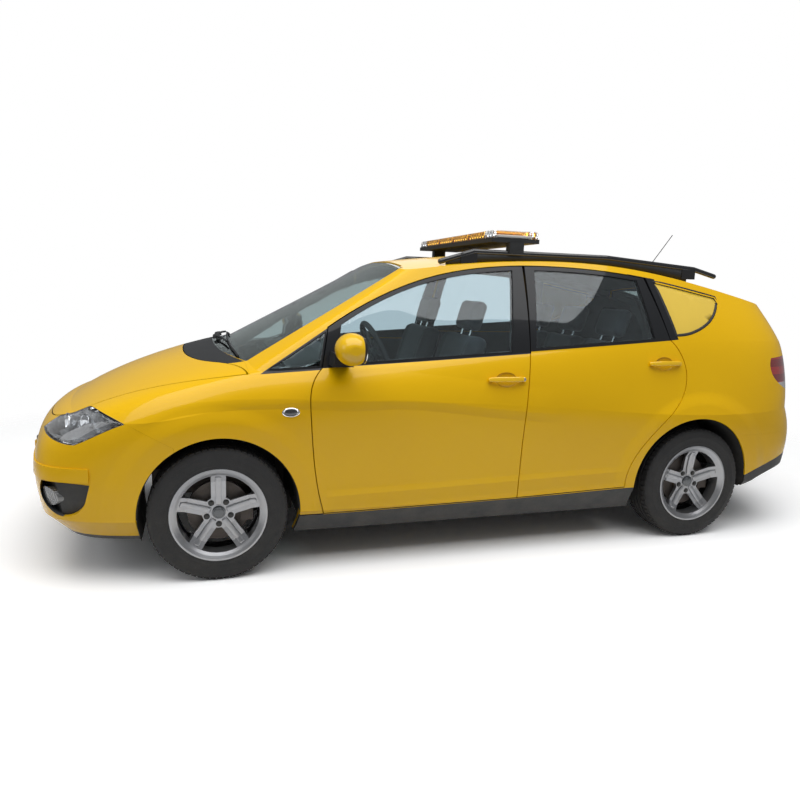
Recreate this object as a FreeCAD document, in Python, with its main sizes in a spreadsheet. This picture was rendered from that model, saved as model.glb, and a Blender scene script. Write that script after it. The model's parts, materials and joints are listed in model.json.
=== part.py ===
import FreeCAD, Part
import math
import os
import re

Vector = FreeCAD.Vector
doc = FreeCAD.newDocument("TaxiCab")

# Driving dimensions, in millimetres and degrees
SIZES = {
    "body_length": 4467,
    "front_overhang": 863,
    "wheelbase": 2578,
    "body_width": 1768,
    "roof_height": 1561,
    "skin_floor": 185,
    "floor_height": 262,
    "floor_thickness": 38,
    "front_track": 1541,
    "rear_track": 1517,
    "hub_height": 314,
    "front_arch_radius": 360,
    "rear_arch_radius": 378,
    "shut_gap": 5,
    "seat_gap": 0.3,
    "panel_depth": 30,
    "wall_depth": 72,
    "glass_inset": 5,
    "glass_thickness": 5,
    "roof_crown": 46,
    "tyre_radius": 314,
    "tyre_width": 205,
    "bead_radius": 204,
    "rim_edge_radius": 216,
    "rim_well_radius": 180,
    "rim_width": 196,
    "hub_face_offset": 44,
    "hub_bore_radius": 28.5,
    "spoke_count": 5,
    "spoke_width": 66,
    "disc_radius": 140,
    "disc_thickness": 24,
    "steering_wheel_radius": 188,
    "steering_grip_radius": 15,
    "rail_radius": 14,
    "light_bar_length": 1200,
    "light_bar_width": 270,
    "light_bar_height": 62,
    "light_bar_base": 1600,
    "whip_length": 345,
    "slat_pitch": 24,
    "slat_height": 9,
    "fog_lamp_radius": 42,
    "module_gap": 6,
    "engine_length": 560,
    "engine_width": 680,
    "engine_height": 480,
    "tank_length": 560,
    "tank_width": 480,
    "tank_height": 110,
}

sheet = doc.addObject("Spreadsheet::Sheet", "Sizes")
for row, (alias, value) in enumerate(SIZES.items(), start=1):
    sheet.set("A%d" % row, alias)
    sheet.set("B%d" % row, str(value))
    sheet.setAlias("B%d" % row, alias)
doc.recompute()


def size(alias):
    return float(sheet.get(alias))


half_length = size("body_length") / 2
half_width = size("body_width") / 2
floor_z = size("skin_floor")
front_axle = half_length - size("front_overhang")
rear_axle = front_axle - size("wheelbase")
gap = size("shut_gap")
touch = size("seat_gap")

# The body skin: rings from the sill up to the glasshouse, each one a closed loop seen from above.
# front: distance behind the nose, height on the centre line, sweep-back at the corner, squareness
# side: distance of the front corner behind the nose, inset from the half width, front taper,
#       heights at four even stations, rear taper, distance of the rear corner ahead of the tail
# rear: squareness, sweep, height on the centre line, distance ahead of the tail
RINGS = [
    ("floor", (110, 185, 45, 2.7), (480, 92, 10, (190, 190, 190, 190), 28, 600), (2.6, 90, 215, 170)),
    ("sill", (14, 310, 36, 3.0), (480, 18, 6, (305, 305, 305, 305), 26, 600), (2.6, 90, 340, 50)),
    ("bumper_low", (-8, 450, 30, 3.2), (480, 13, 6, (440, 440, 440, 430), 26, 600), (2.6, 90, 450, 12)),
    ("bumper_high", (-6, 600, 36, 3.2), (480, 11, 6, (590, 600, 590, 570), 26, 600), (2.6, 90, 570, 0)),
    ("lip", (54, 735, 56, 3.1), (500, 0, 8, (700, 765, 710, 650), 28, 600), (2.6, 90, 680, 55)),
    ("crease", (158, 765, 80, 3.1), (520, 0, 12, (748, 826, 754, 712), 30, 600), (2.6, 90, 730, 90)),
    ("bonnet", (330, 880, 80, 4.2), (610, 5, 22, (820, 882, 845, 820), 38, 600), (2.8, 90, 850, 102)),
    ("shoulder", (640, 1000, 70, 5.0), (790, 28, 30, (905, 968, 990, 1010), 50, 608), (2.9, 90, 975, 120)),
    ("belt", (950, 1062, 60, 5.6), (1060, 60, 26, (960, 1020, 1080, 1110), 62, 625), (3.2, 90, 1065, 170)),
    ("glass", (1250, 1222, 42, 7.5), (1340, 104, 22, (1150, 1185, 1232, 1250), 74, 690), (3.6, 80, 1200, 262)),
    ("cantrail", (1610, 1405, 34, 8.0), (1680, 178, 20, (1362, 1378, 1388, 1362), 76, 770), (4.2, 70, 1360, 385)),
    ("crown", (2000, 1620, 30, 8.0), (2060, 320, 18, (1600, 1620, 1620, 1600), 60, 900), (4.4, 60, 1600, 560)),
]
PATCHES = ((0, 1), (1, 5), (5, 8), (8, 11))
CORNER_ANGLES = (0, 28, 56)
SIDE_STATIONS = (0.0, 0.11, 0.26, 0.49, 0.71, 0.87, 1.0)
SEAM_STATION = 21
FACET_RUN = 300


def rise(heights, share):
    nodes = (0, 1 / 3, 2 / 3, 1)
    total = 0
    for i, height in enumerate(heights):
        weight = 1
        for j, node in enumerate(nodes):
            if j != i:
                weight *= (share - node) / (nodes[i] - node)
        total += height * weight
    return total


def swell(distance, reach):
    ratio = abs(distance) / reach
    return (1 - ratio * ratio) ** 2 if ratio < 1 else 0


def arch_swell(x, z):
    if z > 800:
        return 0
    fade = min(1, max(0, (z - 200) / 200))
    return fade * (7 * swell(x - front_axle, 480) + 20 * swell(x - rear_axle, 560))


def ring_points(front, side, rear):
    nose_back, nose_z, nose_sweep, nose_square = front
    corner_back, inset, front_taper, heights, rear_taper, corner_ahead = side
    rear_square, rear_sweep, rear_z, tail_ahead = rear
    x_nose = half_length - 10 - nose_back
    x_front = half_length - 10 - corner_back
    x_rear = -half_length + corner_ahead
    x_tail = -half_length + tail_ahead
    y_side = half_width - inset
    y_front = y_side - front_taper
    y_rear = y_side - rear_taper
    points = []
    for angle in CORNER_ANGLES:
        sine = math.sin(math.radians(angle))
        cosine = math.cos(math.radians(angle))
        reach = cosine ** (2 / nose_square)
        out = sine ** (2 / nose_square)
        x = x_front + (x_nose - x_front - nose_sweep * out * out) * reach
        points.append((x, y_front * out, nose_z + (heights[0] - nose_z) * out * out))
    for share in SIDE_STATIONS:
        x = x_front + (x_rear - x_front) * share
        z = rise(heights, share)
        taper = front_taper if share < 0.5 else rear_taper
        y = y_side - taper * abs(2 * share - 1) ** 2.6 + arch_swell(x, z)
        points.append((x, y, z))
    for angle in reversed(CORNER_ANGLES):
        sine = math.sin(math.radians(angle))
        cosine = math.cos(math.radians(angle))
        reach = cosine ** (2 / rear_square)
        out = sine ** (2 / rear_square)
        x = x_rear + (x_tail - x_rear + rear_sweep * out * out) * reach
        points.append((x, y_rear * out, rear_z + (heights[3] - rear_z) * out * out))
    return points


def ring_loop(index):
    name, front, side, rear = RINGS[index]
    left = ring_points(front, side, rear)
    if name == "floor":
        left = [(x, y, floor_z) for x, y, z in left]
    if name == "crown":
        left = [(x, y, front[1]) for x, y, z in left]
    right = [(x, -y, z) for x, y, z in reversed(left[1:-1])]
    points = left + right
    return [Vector(*point) for point in points[SEAM_STATION:] + points[:SEAM_STATION]]


def ring_curves():
    loops = [ring_loop(index) for index in range(len(RINGS))]
    count = len(loops[0])
    marks = [0.0]
    for j in range(count):
        steps = [loop[j].distanceToPoint(loop[(j + 1) % count]) for loop in loops[2:10:3]]
        marks.append(marks[-1] + sum(steps) / len(steps))
    # A closed cubic through the stations: the middle lap of an open one that runs three laps
    total = marks[-1]
    laps = [mark - total for mark in marks[:-1]] + marks[:-1] + [mark + total for mark in marks]
    curves = []
    for loop in loops:
        three_laps = Part.BSplineCurve()
        three_laps.interpolate(Points=loop * 3 + loop[:1], Parameters=laps)
        curve = Part.BSplineCurve()
        curve.buildFromPolesMultsKnots(
            three_laps.getPoles()[count:2 * count], [1] * (count + 1), marks, True, 3)
        curves.append(curve)
    return curves


RING_CURVES = ring_curves()


def roof_solid(depth):
    top = size("roof_height") - depth
    crown = size("roof_crown")
    along = ((2300, -686), (1150, -156), (350, -21), (-600, 52), (-1300, -56), (-2300, -316))
    edges = []
    for y in (-1000, -500, 0, 500, 1000):
        drop = crown * (y / 580) ** 2
        curve = Part.BSplineCurve()
        curve.buildFromPoles([Vector(x, y, top + lift - drop) for x, lift in along])
        edges.append(curve)
    surface = Part.BSplineSurface()
    poles = [curve.getPoles() for curve in edges]
    surface.buildFromPolesMultsKnots(
        poles, [4, 1, 4], edges[0].getMultiplicities(), [0, 1, 2], edges[0].getKnots(),
        False, False, 3, 3)
    return surface.toShape().extrude(Vector(0, 0, -2500))


def skin_patches(depth):
    """The four bands of the skin, drawn in by a depth."""
    across = 1 - depth / half_width
    along = 1 - depth / half_length
    upward = 1 - depth / (size("roof_height") - floor_z)
    patches = []
    for first, last in PATCHES:
        rows = [curve.getPoles() for curve in RING_CURVES[first:last + 1]]
        degree = min(3, last - first)
        columns = []
        for j in range(len(rows[0])):
            column = []
            for row in rows:
                pole = row[j]
                column.append(Vector(pole.x * along, pole.y * across,
                                     floor_z + (pole.z - floor_z) * upward))
            columns.append(column)
        spans = last - first - degree + 1
        multiples = [degree + 1] + [1] * (spans - 1) + [degree + 1]
        surface = Part.BSplineSurface()
        surface.buildFromPolesMultsKnots(
            columns, RING_CURVES[0].getMultiplicities(), multiples,
            RING_CURVES[0].getKnots(), list(range(spans + 1)), True, False, 3, degree)
        patches.append(surface)
    return patches


def closed_body(faces, depth):
    shell = Part.makeShell(faces)
    shell.sewShape()
    solid = Part.Solid(shell)
    if solid.Volume < 0:
        solid.reverse()
    return solid.common(roof_solid(depth))


def body_mass(depth):
    """The whole body as one solid, its skin drawn in by a depth."""
    faces = [surface.toShape() for surface in skin_patches(depth)]
    for face, end in ((faces[0], min), (faces[-1], max)):
        rims = [edge for edge in face.Edges if edge.isClosed()]
        rim = end(rims, key=lambda edge: edge.CenterOfMass.z)
        faces.append(Part.Face(Part.Wire([rim])))
    return closed_body(faces, depth)


def inner_mass(depth):
    """The same solid in flat facets, for the side of the panels that trim covers."""
    knots = RING_CURVES[0].getKnots()
    marks = []
    for a, b in zip(knots, knots[1:]):
        marks.append(a)
        if b - a > FACET_RUN:
            marks.append((a + b) / 2)
    loops = []
    for surface, (first, last) in zip(skin_patches(depth), PATCHES):
        top = surface.bounds()[3]
        steps = last - first
        for step in range(0 if first == 0 else 1, steps + 1):
            level = top * step / steps
            loops.append([surface.value(mark, level) for mark in marks])
    faces = [Part.Face(Part.makePolygon(loop + loop[:1])) for loop in (loops[0], loops[-1])]
    for low, high in zip(loops, loops[1:]):
        for j in range(len(marks)):
            k = (j + 1) % len(marks)
            halves = ((low[j], low[k], high[k]), (low[j], high[k], high[j]))
            if low[j].y + low[k].y < 0:
                halves = ((low[j], low[k], high[j]), (low[k], high[k], high[j]))
            for a, b, c in halves:
                faces.append(Part.Face(Part.makePolygon([a, b, c, a])))
    return closed_body(faces, depth)


def grown(points, amount):
    """The points of a closed outline, moved outward by an amount."""
    pairs = list(zip(points, points[1:] + points[:1]))
    turn = 1 if sum(a[0] * b[1] - b[0] * a[1] for a, b in pairs) > 0 else -1
    moved = []
    for before, here, after in zip(points[-1:] + points[:-1], points, points[1:] + points[:1]):
        normals = []
        for a, b in ((before, here), (here, after)):
            run = math.dist(a, b)
            normals.append(((b[1] - a[1]) / run * turn, (a[0] - b[0]) / run * turn))
        (ax, ay), (bx, by) = normals
        reach = amount / (1 + ax * bx + ay * by)
        moved.append((here[0] + (ax + bx) * reach, here[1] + (ay + by) * reach))
    return moved


VIEWS = {
    "side": (lambda a, b, depth: Vector(a, depth, b), Vector(0, 1, 0)),
    "top": (lambda a, b, depth: Vector(a, b, depth), Vector(0, 0, 1)),
    "front": (lambda a, b, depth: Vector(depth, a, b), Vector(1, 0, 0)),
}


def prism(view, sides, near, far, grow=0.0, lean=0.0, level=0.0):
    """An outline pushed through the body. A side of one point runs straight, a longer one curves.

    With a lean the prism tilts forward as it rises, and the outline is true at one level.
    """
    place, direction = VIEWS[view]
    flat = grown([point for side in sides for point in side], grow)
    edges = []
    start = 0
    for side in sides:
        end = start + len(side)
        points = [place(a, b, near) for a, b in flat[start:end] + [flat[end % len(flat)]]]
        if len(points) == 2:
            edges.append(Part.makeLine(points[0], points[1]))
        else:
            curve = Part.BSplineCurve()
            curve.interpolate(points)
            edges.append(curve.toShape())
        start = end
    face = Part.Face(Part.Wire(edges))
    face.translate(Vector(lean * (near - level), 0, 0))
    return face.extrude((direction + Vector(lean, 0, 0)) * (far - near))


def block(x, y, z):
    """A box between two x, two y and two z values."""
    return Part.makeBox(x[1] - x[0], y[1] - y[0], z[1] - z[0], Vector(x[0], y[0], z[0]))


def across(shape):
    """The same shape on the other side of the car."""
    return shape.mirror(Vector(0, 0, 0), Vector(0, 1, 0))


def cylinder(radius, start, end):
    return Part.makeCylinder(radius, start.distanceToPoint(end), start, end - start)


def joined(shapes):
    whole = shapes[0]
    for shape in shapes[1:]:
        whole = whole.fuse(shape)
    return whole.removeSplitter()


def height_on(points, x):
    """The height of a smooth curve through points that run from front to rear."""
    slopes = []
    for i in range(len(points)):
        a = points[max(0, i - 1)]
        b = points[min(len(points) - 1, i + 1)]
        slopes.append((b[1] - a[1]) / (b[0] - a[0]))
    for i in range(len(points) - 1):
        (xa, za), (xb, zb) = points[i], points[i + 1]
        if xb <= x <= xa or i == len(points) - 2:
            span = xb - xa
            t = (x - xa) / span
            return (za * (1 + 2 * t) * (1 - t) ** 2 + zb * t * t * (3 - 2 * t)
                    + slopes[i] * span * t * (1 - t) ** 2 + slopes[i + 1] * span * t * t * (t - 1))


PARTS = {}


def shaped(name, shape):
    """A piece whose form is set from the skin and its outlines."""
    item = doc.addObject("Part::Feature", name)
    item.Label = name
    item.Shape = shape
    item.Placement = FreeCAD.Placement()
    PARTS[name] = item
    return item


# Side view outlines of the left side, as (x, z) points
BAND_TOP = [(1179, 948), (854, 1164), (486, 1359), (79, 1460), (-352, 1484), (-818, 1455),
            (-1400, 1358)]


def band_top(*stations):
    return [(x, height_on(BAND_TOP, x)) for x in stations]


B_GAP = [(-112, 303), (-119, 560), (-135, 860)]
B_GAP_TOP = [(-159, 1059)]
FRONT_DOOR = [
    [(899, 973), (953, 889), (958, 760), (945, 580), (919, 394)],
    [(892, 285)],
    B_GAP,
    B_GAP_TOP,
    band_top(-184, 79, 330, 600),
    band_top(862),
]
REAR_DOOR = [
    B_GAP,
    B_GAP_TOP,
    band_top(-184, -420, -660),
    band_top(-914),
    [(-1004, 1117), (-1063, 1048), (-1098, 938), (-1070, 816), (-970, 695), (-859, 571), (-792, 474)],
    [(-754, 322)],
]
# Strips behind the window frames, where a door swings backward as it opens
FRONT_DOOR_SWING = [[(-157, 1059)], [(-172, 1480)], [(-250, 1480)], [(-250, 1059)]]
REAR_DOOR_SWING = [[(-1004, 1110)], [(-889, 1480)], [(-1100, 1480)], [(-1100, 1110)]]
FRONT_WINDOW = [
    [(838, 990)],
    [(-57, 1052)],
    [(x, z - 22) for x, z in band_top(-113, 150, 380, 600)],
    [(x, z - 24) for x, z in band_top(800)],
]
REAR_WINDOW = [
    [(-193, 1070)],
    [(-238, band_top(-238)[0][1] - 22), (-450, band_top(-450)[0][1] - 22),
     (-650, band_top(-650)[0][1] - 22)],
    [(-853, band_top(-853)[0][1] - 22)],
    [(-905, 1121)],
]
QUARTER_WINDOW = [
    [(-960, band_top(-960)[0][1] - 14), (-1100, band_top(-1100)[0][1] - 14),
     (-1250, band_top(-1250)[0][1] - 14)],
    [(-1385, band_top(-1385)[0][1] - 14)],
    [(-1400, 1312), (-1330, 1228), (-1230, 1170), (-1130, 1140)],
    [(-1045, 1134)],
]
VENT_WINDOW = [[(1140, 966)], [(905, 980)], [(872, 1140)]]
HEADLAMP = [
    [(1752, 744), (1849, 782), (1918, 789), (1985, 768), (2054, 734)],
    [(2130, 676), (2083, 668), (2026, 655)],
    [(1959, 650), (1895, 680), (1822, 716)],
]
FOG_RECESS = [
    [(2114, 478), (2025, 482)], [(1904, 475)],
    [(1923, 405), (1965, 343), (2004, 325), (2079, 342)],
]
TAIL_LAMP = [[(-1732, 1014), (-1721, 947), (-1765, 888)], [(-2100, 846)], [(-2100, 1034)]]
# The rear bumper's painted lower edge and the black trim below it
REAR_BUMPER = [
    [(-1500, 585)], [(-1500, 322)], [(-1596, 353), (-1702, 387), (-1830, 418)], [(-2400, 424)],
    [(-2400, 585)],
]
REAR_TRIM = [
    [(-1530, 331.7)], [(-1530, 262)], [(-1600, 288), (-1710, 332), (-1825, 358)], [(-2400, 362)],
    [(-2400, 424), (-1830, 418), (-1702, 387)], [(-1596, 353)],
]
# Top view outlines, as (x, y) points
BONNET = [
    [(1235, -800), (1423, -772), (1642, -717), (1774, -684)],
    [(1927, -645)], [(2300, -550)], [(2300, 550)], [(1927, 645)],
    [(1774, 684), (1642, 717), (1423, 772)],
    [(1235, 800), (1325, 640), (1417, 541), (1488, 400), (1530, 0), (1488, -400), (1417, -541),
     (1325, -640)],
]
BONNET_NOSE = [
    [(1900, -760)],
    [(1935, -640), (2075, -540), (2140, -330), (2160, 0), (2140, 330), (2075, 540)],
    [(1935, 640)], [(1900, 760)], [(1100, 900)], [(1100, -900)],
]
WINDSCREEN = [
    [(1235, -660), (1340, -420), (1377, 0), (1340, 420)],
    [(1235, 660), (850, 625)],
    [(452, 565), (440, 300), (436, 0), (440, -300)],
    [(452, -565), (850, -625)],
]
ROOF = [[(436, -560)], [(436, 560)], [(-1470, 560)], [(-1470, -560)]]
# The tailgate's sides run apart toward the rear, so that it swings up clear of the pillars
TAILGATE_SIDES = [[(-1400, -485)], [(-1400, 485)], [(-2400, 735)], [(-2400, -735)]]
COWL = [
    [(1240, 660), (1330, 640), (1420, 541), (1491, 400), (1534, 0), (1491, -400), (1420, -541),
     (1330, -640)],
    [(1240, -660), (1340, -420), (1377, 0), (1340, 420)],
]
# Rear view outlines, as (y, z) points
TAILGATE = [
    [(-560, 590)], [(560, 590)], [(590, 760)], [(640, 1010)], [(700, 1250)], [(700, 1700)],
    [(-700, 1700)], [(-700, 1250)], [(-640, 1010)], [(-590, 760)],
]
REAR_WINDOW_BACK = [[(-560, 1090)], [(560, 1090)], [(490, 1375)], [(-490, 1375)]]
# Front view outlines, as (y, z) points
UPPER_GRILLE = [[(-230, 588)], [(230, 588)], [(300, 655)], [(-300, 655)]]
LOWER_GRILLE = [[(-420, 262)], [(420, 262)], [(500, 400)], [(-500, 400)]]

depth_out = size("panel_depth")
depth_wall = size("wall_depth")
mass = body_mass(0)
mass_panel = inner_mass(depth_out)
mass_seat = inner_mass(depth_out + 1.4 * touch)
mass_wall = inner_mass(depth_wall)
mass_cabin = inner_mass(depth_wall + 1.4 * touch)
mass_glass = body_mass(size("glass_inset"))
mass_glass_back = body_mass(size("glass_inset") + size("glass_thickness"))


def outer_layer(region):
    """The part of a region that lies within the outer panels."""
    return region.common(mass).cut(mass_panel)


def pane(region):
    return region.common(mass_glass).cut(mass_glass_back)


def arch(x, radius, depth=(300, 1000)):
    return cylinder(radius, Vector(x, depth[0], size("hub_height")),
                    Vector(x, depth[1], size("hub_height")))


front_arch = arch(front_axle - 8, size("front_arch_radius"))
rear_arch = arch(rear_axle + 17, size("rear_arch_radius"))


def side_prism(sides, grow=0.0):
    return prism("side", sides, 300, 1000, grow)


def door(outline, window, belt, swing):
    whole = side_prism(outline, -gap / 2).common(mass).cut(mass_wall)
    core = side_prism(outline, -34).common(block((-2000, 1500), (300, 1000), (0, belt)))
    rim = side_prism(outline, 1).cut(core).common(mass_panel)
    return whole.cut(rim).cut(side_prism(window)).cut(side_prism(swing))


front_door = door(FRONT_DOOR, FRONT_WINDOW, 985, FRONT_DOOR_SWING)
corner = block((790, 880), (600, 780), (1100, 1200)).common(inner_mass(depth_out - 8))
front_door = front_door.cut(corner)
rear_door = door(REAR_DOOR, REAR_WINDOW, 1040, REAR_DOOR_SWING)
front_pane = pane(side_prism(FRONT_WINDOW, -touch))
rear_pane = pane(side_prism(REAR_WINDOW, -touch))
for side, turned in (("left", lambda shape: shape), ("right", across)):
    shaped("front_door_" + side, turned(front_door))
    shaped("rear_door_" + side, turned(rear_door))
    shaped("front_door_glass_" + side, turned(front_pane))
    shaped("rear_door_glass_" + side, turned(rear_pane))


def tailgate_zone(grow, front):
    sides = prism("top", TAILGATE_SIDES, 500, 1700, grow)
    ends = block((-2400, front), (-1000, 1000), (500, 1700))
    return prism("front", TAILGATE, -2400, -1400, grow).common(sides).common(ends)


def bonnet_region(grow):
    """The bonnet's outline, its front edge leaning forward so that it lifts clear of the nose."""
    sides = prism("top", BONNET, 600, 1300, grow)
    return sides.common(prism("top", BONNET_NOSE, 600, 1300, grow, 0.35, 745))


# The body side: cantrail, pillars, sill and rear quarter in one piece
bonnet_hole = bonnet_region(gap / 2)
windscreen_hole = prism("top", WINDSCREEN, 850, 1700)
roof_region = prism("top", ROOF, 1300, 1700)
fender_cut = side_prism([[(899, 975)], [(1179, 950)], [(1224, 943)], [(1262, 1047)], [(1700, 1200)],
                         [(2400, 900)], [(2400, 100)], [(880, 100)], [(892, 285)],
                         [(919, 394), (945, 580), (958, 760), (953, 889)]], touch / 2)
tailgate_hole = tailgate_zone(gap / 2, -1475 + gap / 2)
tailgate_inner = tailgate_zone(-24, -1500).common(
    block((-2400, -1500), (-1000, 1000), (590, 1430)))
bumper_zone = block((-2400, -1500), (-1000, 1000), (100, 585))
lamp_zone = side_prism(TAIL_LAMP)


SILL = [[(1100, 100)], [(1100, 282)], [(892, 282)], [(-112, 300)], [(-754, 319)], [(-900, 319)],
        [(-900, 100)]]
sill_zone = side_prism(SILL, -gap / 2)


def body_side():
    side = block((-2240, 1262), (300, 1000), (150, 1700)).common(mass).cut(mass_wall)
    through = [
        block((1050, 1300), (0, 1000), (150, 930)),
        side_prism(FRONT_DOOR, -22),
        side_prism(REAR_DOOR, -22),
        side_prism(QUARTER_WINDOW),
        side_prism(VENT_WINDOW),
        windscreen_hole,
        bonnet_hole,
        front_arch,
        block((-1480, 1300), (-10, 505), (1200, 1700)),
        tailgate_inner,
        block((-2400, -1400), (-10, 480), (150, 1700)),
        block((-900, 1100), (-10, 700), (150, 260)),
        rear_arch,
        block((-2400, -1540), (-10, 1000), (150, 420)),
    ]
    outside = [
        side_prism(FRONT_DOOR, gap / 2),
        side_prism(REAR_DOOR, gap / 2),
        fender_cut,
        bonnet_hole,
        roof_region,
        tailgate_hole,
        bumper_zone,
        lamp_zone,
    ]
    outside.append(sill_zone)
    for tool in through:
        side = side.cut(tool)
    for tool in outside:
        side = side.cut(tool.cut(mass_seat))
    return side


left_side = body_side()
shaped("body_sides", Part.makeCompound([left_side, across(left_side)]))
side_panes = [pane(side_prism(QUARTER_WINDOW, -touch)), pane(side_prism(VENT_WINDOW, -touch))]
shaped("fixed_side_glass", Part.makeCompound(side_panes + [across(p) for p in side_panes]))

windscreen = pane(prism("top", WINDSCREEN, 850, 1700, -touch))
shaped("windscreen", windscreen)
roof = outer_layer(prism("top", ROOF, 1300, 1700, -touch / 2).cut(windscreen_hole))
shaped("roof_panel", roof)
bonnet = outer_layer(bonnet_region(-gap / 2))
shaped("bonnet", bonnet)
tailgate_region = tailgate_zone(-gap / 2, -1475 - gap / 2)
rear_window = prism("front", REAR_WINDOW_BACK, -2400, -1500)
shaped("tailgate", outer_layer(tailgate_region.cut(rear_window)))
shaped("rear_glass", pane(prism("front", REAR_WINDOW_BACK, -2400, -1500, -touch)))
headlamp_region = side_prism(HEADLAMP, 0)
headlamp = outer_layer(side_prism(HEADLAMP, -touch)).cut(bonnet_hole)
shaped("headlamps", Part.makeCompound([headlamp, across(headlamp)]))
tail_lamp = outer_layer(side_prism(TAIL_LAMP, -touch)).cut(tailgate_hole)
shaped("tail_lamps", Part.makeCompound([tail_lamp, across(tail_lamp)]))
fender = outer_layer(side_prism([
    [(899, 975)], [(1179, 950)], [(1224, 943)], [(1262, 1047)], [(1700, 1200)], [(2400, 900)],
    [(1748, 747)], [(1556, 636)], [(1556, 285)], [(892, 285)],
    [(919, 394), (945, 580), (958, 760), (953, 889)]], -touch))
fender = fender.cut(side_prism(FRONT_DOOR, gap / 2))
fender = fender.cut(side_prism(HEADLAMP, touch)).cut(bonnet_hole).cut(front_arch)
fender = fender.cut(block((880, 1262), (0, 1000), (943, 1300)).cut(fender_cut))
fender = fender.cut(prism("top", COWL, 850, 1300, touch)).cut(windscreen_hole)
fender = max(fender.Solids, key=lambda s: s.Volume)
shaped("front_fenders", Part.makeCompound([fender, across(fender)]))
front_region = prism("side", [[(1556, 636)], [(1748, 747)], [(2400, 900)],
                              [(2400, 225)], [(1556, 225)]], -1000, 1000, -touch)
bumper = outer_layer(front_region).cut(bonnet_hole).cut(front_arch).cut(across(front_arch))
bumper = bumper.cut(side_prism(HEADLAMP, touch)).cut(across(side_prism(HEADLAMP, touch)))
bumper = max(bumper.Solids, key=lambda s: s.Volume)
fog_tools = [side_prism(FOG_RECESS), across(side_prism(FOG_RECESS))]
grille_tools = [prism("front", UPPER_GRILLE, 1900, 2300), prism("front", LOWER_GRILLE, 1900, 2300)]
for tool in fog_tools + grille_tools:
    bumper = bumper.cut(tool)
band = block((1906, half_length), (-900, 900), (486, 548)).common(body_mass(-5)).cut(mass_panel)
plate_holder = block((half_length - 60, half_length), (-260, 260), (440, 550)).cut(mass)
shaped("front_bumper", joined([bumper, band, plate_holder]))


def grille(outline, low, high, reach):
    """Slats across an opening of the bumper, set back from its skin."""
    plate = prism("front", outline, 1900, 2300, -touch).common(mass_grille).cut(mass_panel)
    z = low
    while z < high:
        plate = plate.cut(block((1900, 2300), (-reach, reach), (z, z + slat_gap)))
        z += slat_pitch
    return plate


mass_grille = inner_mass(14)
slat_pitch = size("slat_pitch")
slat_gap = slat_pitch - size("slat_height")
fog_lamp_radius = size("fog_lamp_radius")
fog_axis = (Vector(1900, 716, 404), Vector(2300, 716, 404))
bezel = side_prism(FOG_RECESS, -touch).common(mass_grille).cut(mass_panel)
bezel = bezel.cut(cylinder(fog_lamp_radius + touch, *fog_axis))
lip = outer_layer(block((1600, 2300), (-1000, 1000), (205, 225 - 2 * touch)))
lip = lip.cut(front_arch).cut(across(front_arch))
shaped("front_grilles", Part.makeCompound([
    grille(UPPER_GRILLE, 597, 640, 215), grille(LOWER_GRILLE, 276, 386, 405), bezel, across(bezel), lip]))
fog_lamp = cylinder(fog_lamp_radius, *fog_axis).common(mass_glass_back).cut(mass_panel)
shaped("fog_lamps", Part.makeCompound([fog_lamp, across(fog_lamp)]))
rear_bumper = outer_layer(prism("side", REAR_BUMPER, -1000, 1000, -touch))
rear_bumper = rear_bumper.cut(rear_arch).cut(across(rear_arch))
rear_bumper = max(rear_bumper.Solids, key=lambda s: s.Volume)
pad = block((-half_length, -half_length + 90), (-420, 420), (470, 520)).cut(mass)
shaped("rear_bumper", joined([rear_bumper, pad]))
rear_trim = outer_layer(prism("side", REAR_TRIM, -1000, 1000, -touch / 2))
rear_trim = rear_trim.cut(rear_arch).cut(across(rear_arch))
shaped("rear_trim", max(rear_trim.Solids, key=lambda s: s.Volume))


def bind(item, property_name, formula):
    for alias in sorted(SIZES, key=len, reverse=True):
        formula = re.sub(r"(?<![\w.])%s(?!\w)" % alias, "Sizes." + alias, formula)
    item.setExpression(property_name, formula)


def primitive(kind, name, sizes, place=("0", "0", "0")):
    """A Part primitive whose sizes and place follow formulas of the sheet."""
    item = doc.addObject("Part::" + kind, name)
    for property_name, formula in sizes.items():
        bind(item, property_name, formula)
    for letter, formula in zip("xyz", place):
        bind(item, "Placement.Base." + letter, formula)
    return item


def origin_plane(body, role):
    return next(item for item in body.Origin.OriginFeatures if item.Role == role)


def sketch_on(body, name, role, edges, lift=0.0):
    sketch = body.newObject("Sketcher::SketchObject", name)
    sketch.AttachmentSupport = [(origin_plane(body, role), "")]
    sketch.MapMode = "FlatFace"
    sketch.AttachmentOffset = FreeCAD.Placement(Vector(0, 0, lift), FreeCAD.Rotation())
    for edge in edges:
        sketch.addGeometry(edge)
    return sketch


def polygon_lines(points):
    corners = [Vector(a, b, 0) for a, b in points]
    return [Part.LineSegment(a, b) for a, b in zip(corners, corners[1:] + corners[:1])]


# Wheels: the axle runs along Y through each body's own origin, the outer face towards +Y
def rim_profile():
    edge = size("rim_edge_radius")
    bead = size("bead_radius")
    well = size("rim_well_radius")
    half = size("rim_width") / 2
    face = size("hub_face_offset")
    bore = size("hub_bore_radius")
    wall = 8
    lip = 4.5
    return [
        (edge, -half), (edge, lip - half), (bead, 8 - half), (bead, 42 - half), (well, 58 - half),
        (well, half - 88), (bead, half - 62), (bead, half - 8), (edge, half - lip), (edge, half),
        (edge - wall, half), (bead - wall, half - 8), (well + 4, face + 36), (150, face + 16),
        (80, face + 6), (bore, face + 6), (bore, face - 12), (88, face - 12),
        (150, face + 2), (well - wall, face - 14), (well - wall, 50 - half),
        (bead - wall, 36 - half), (bead - wall, 12 - half), (edge - wall, -half),
    ]


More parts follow.
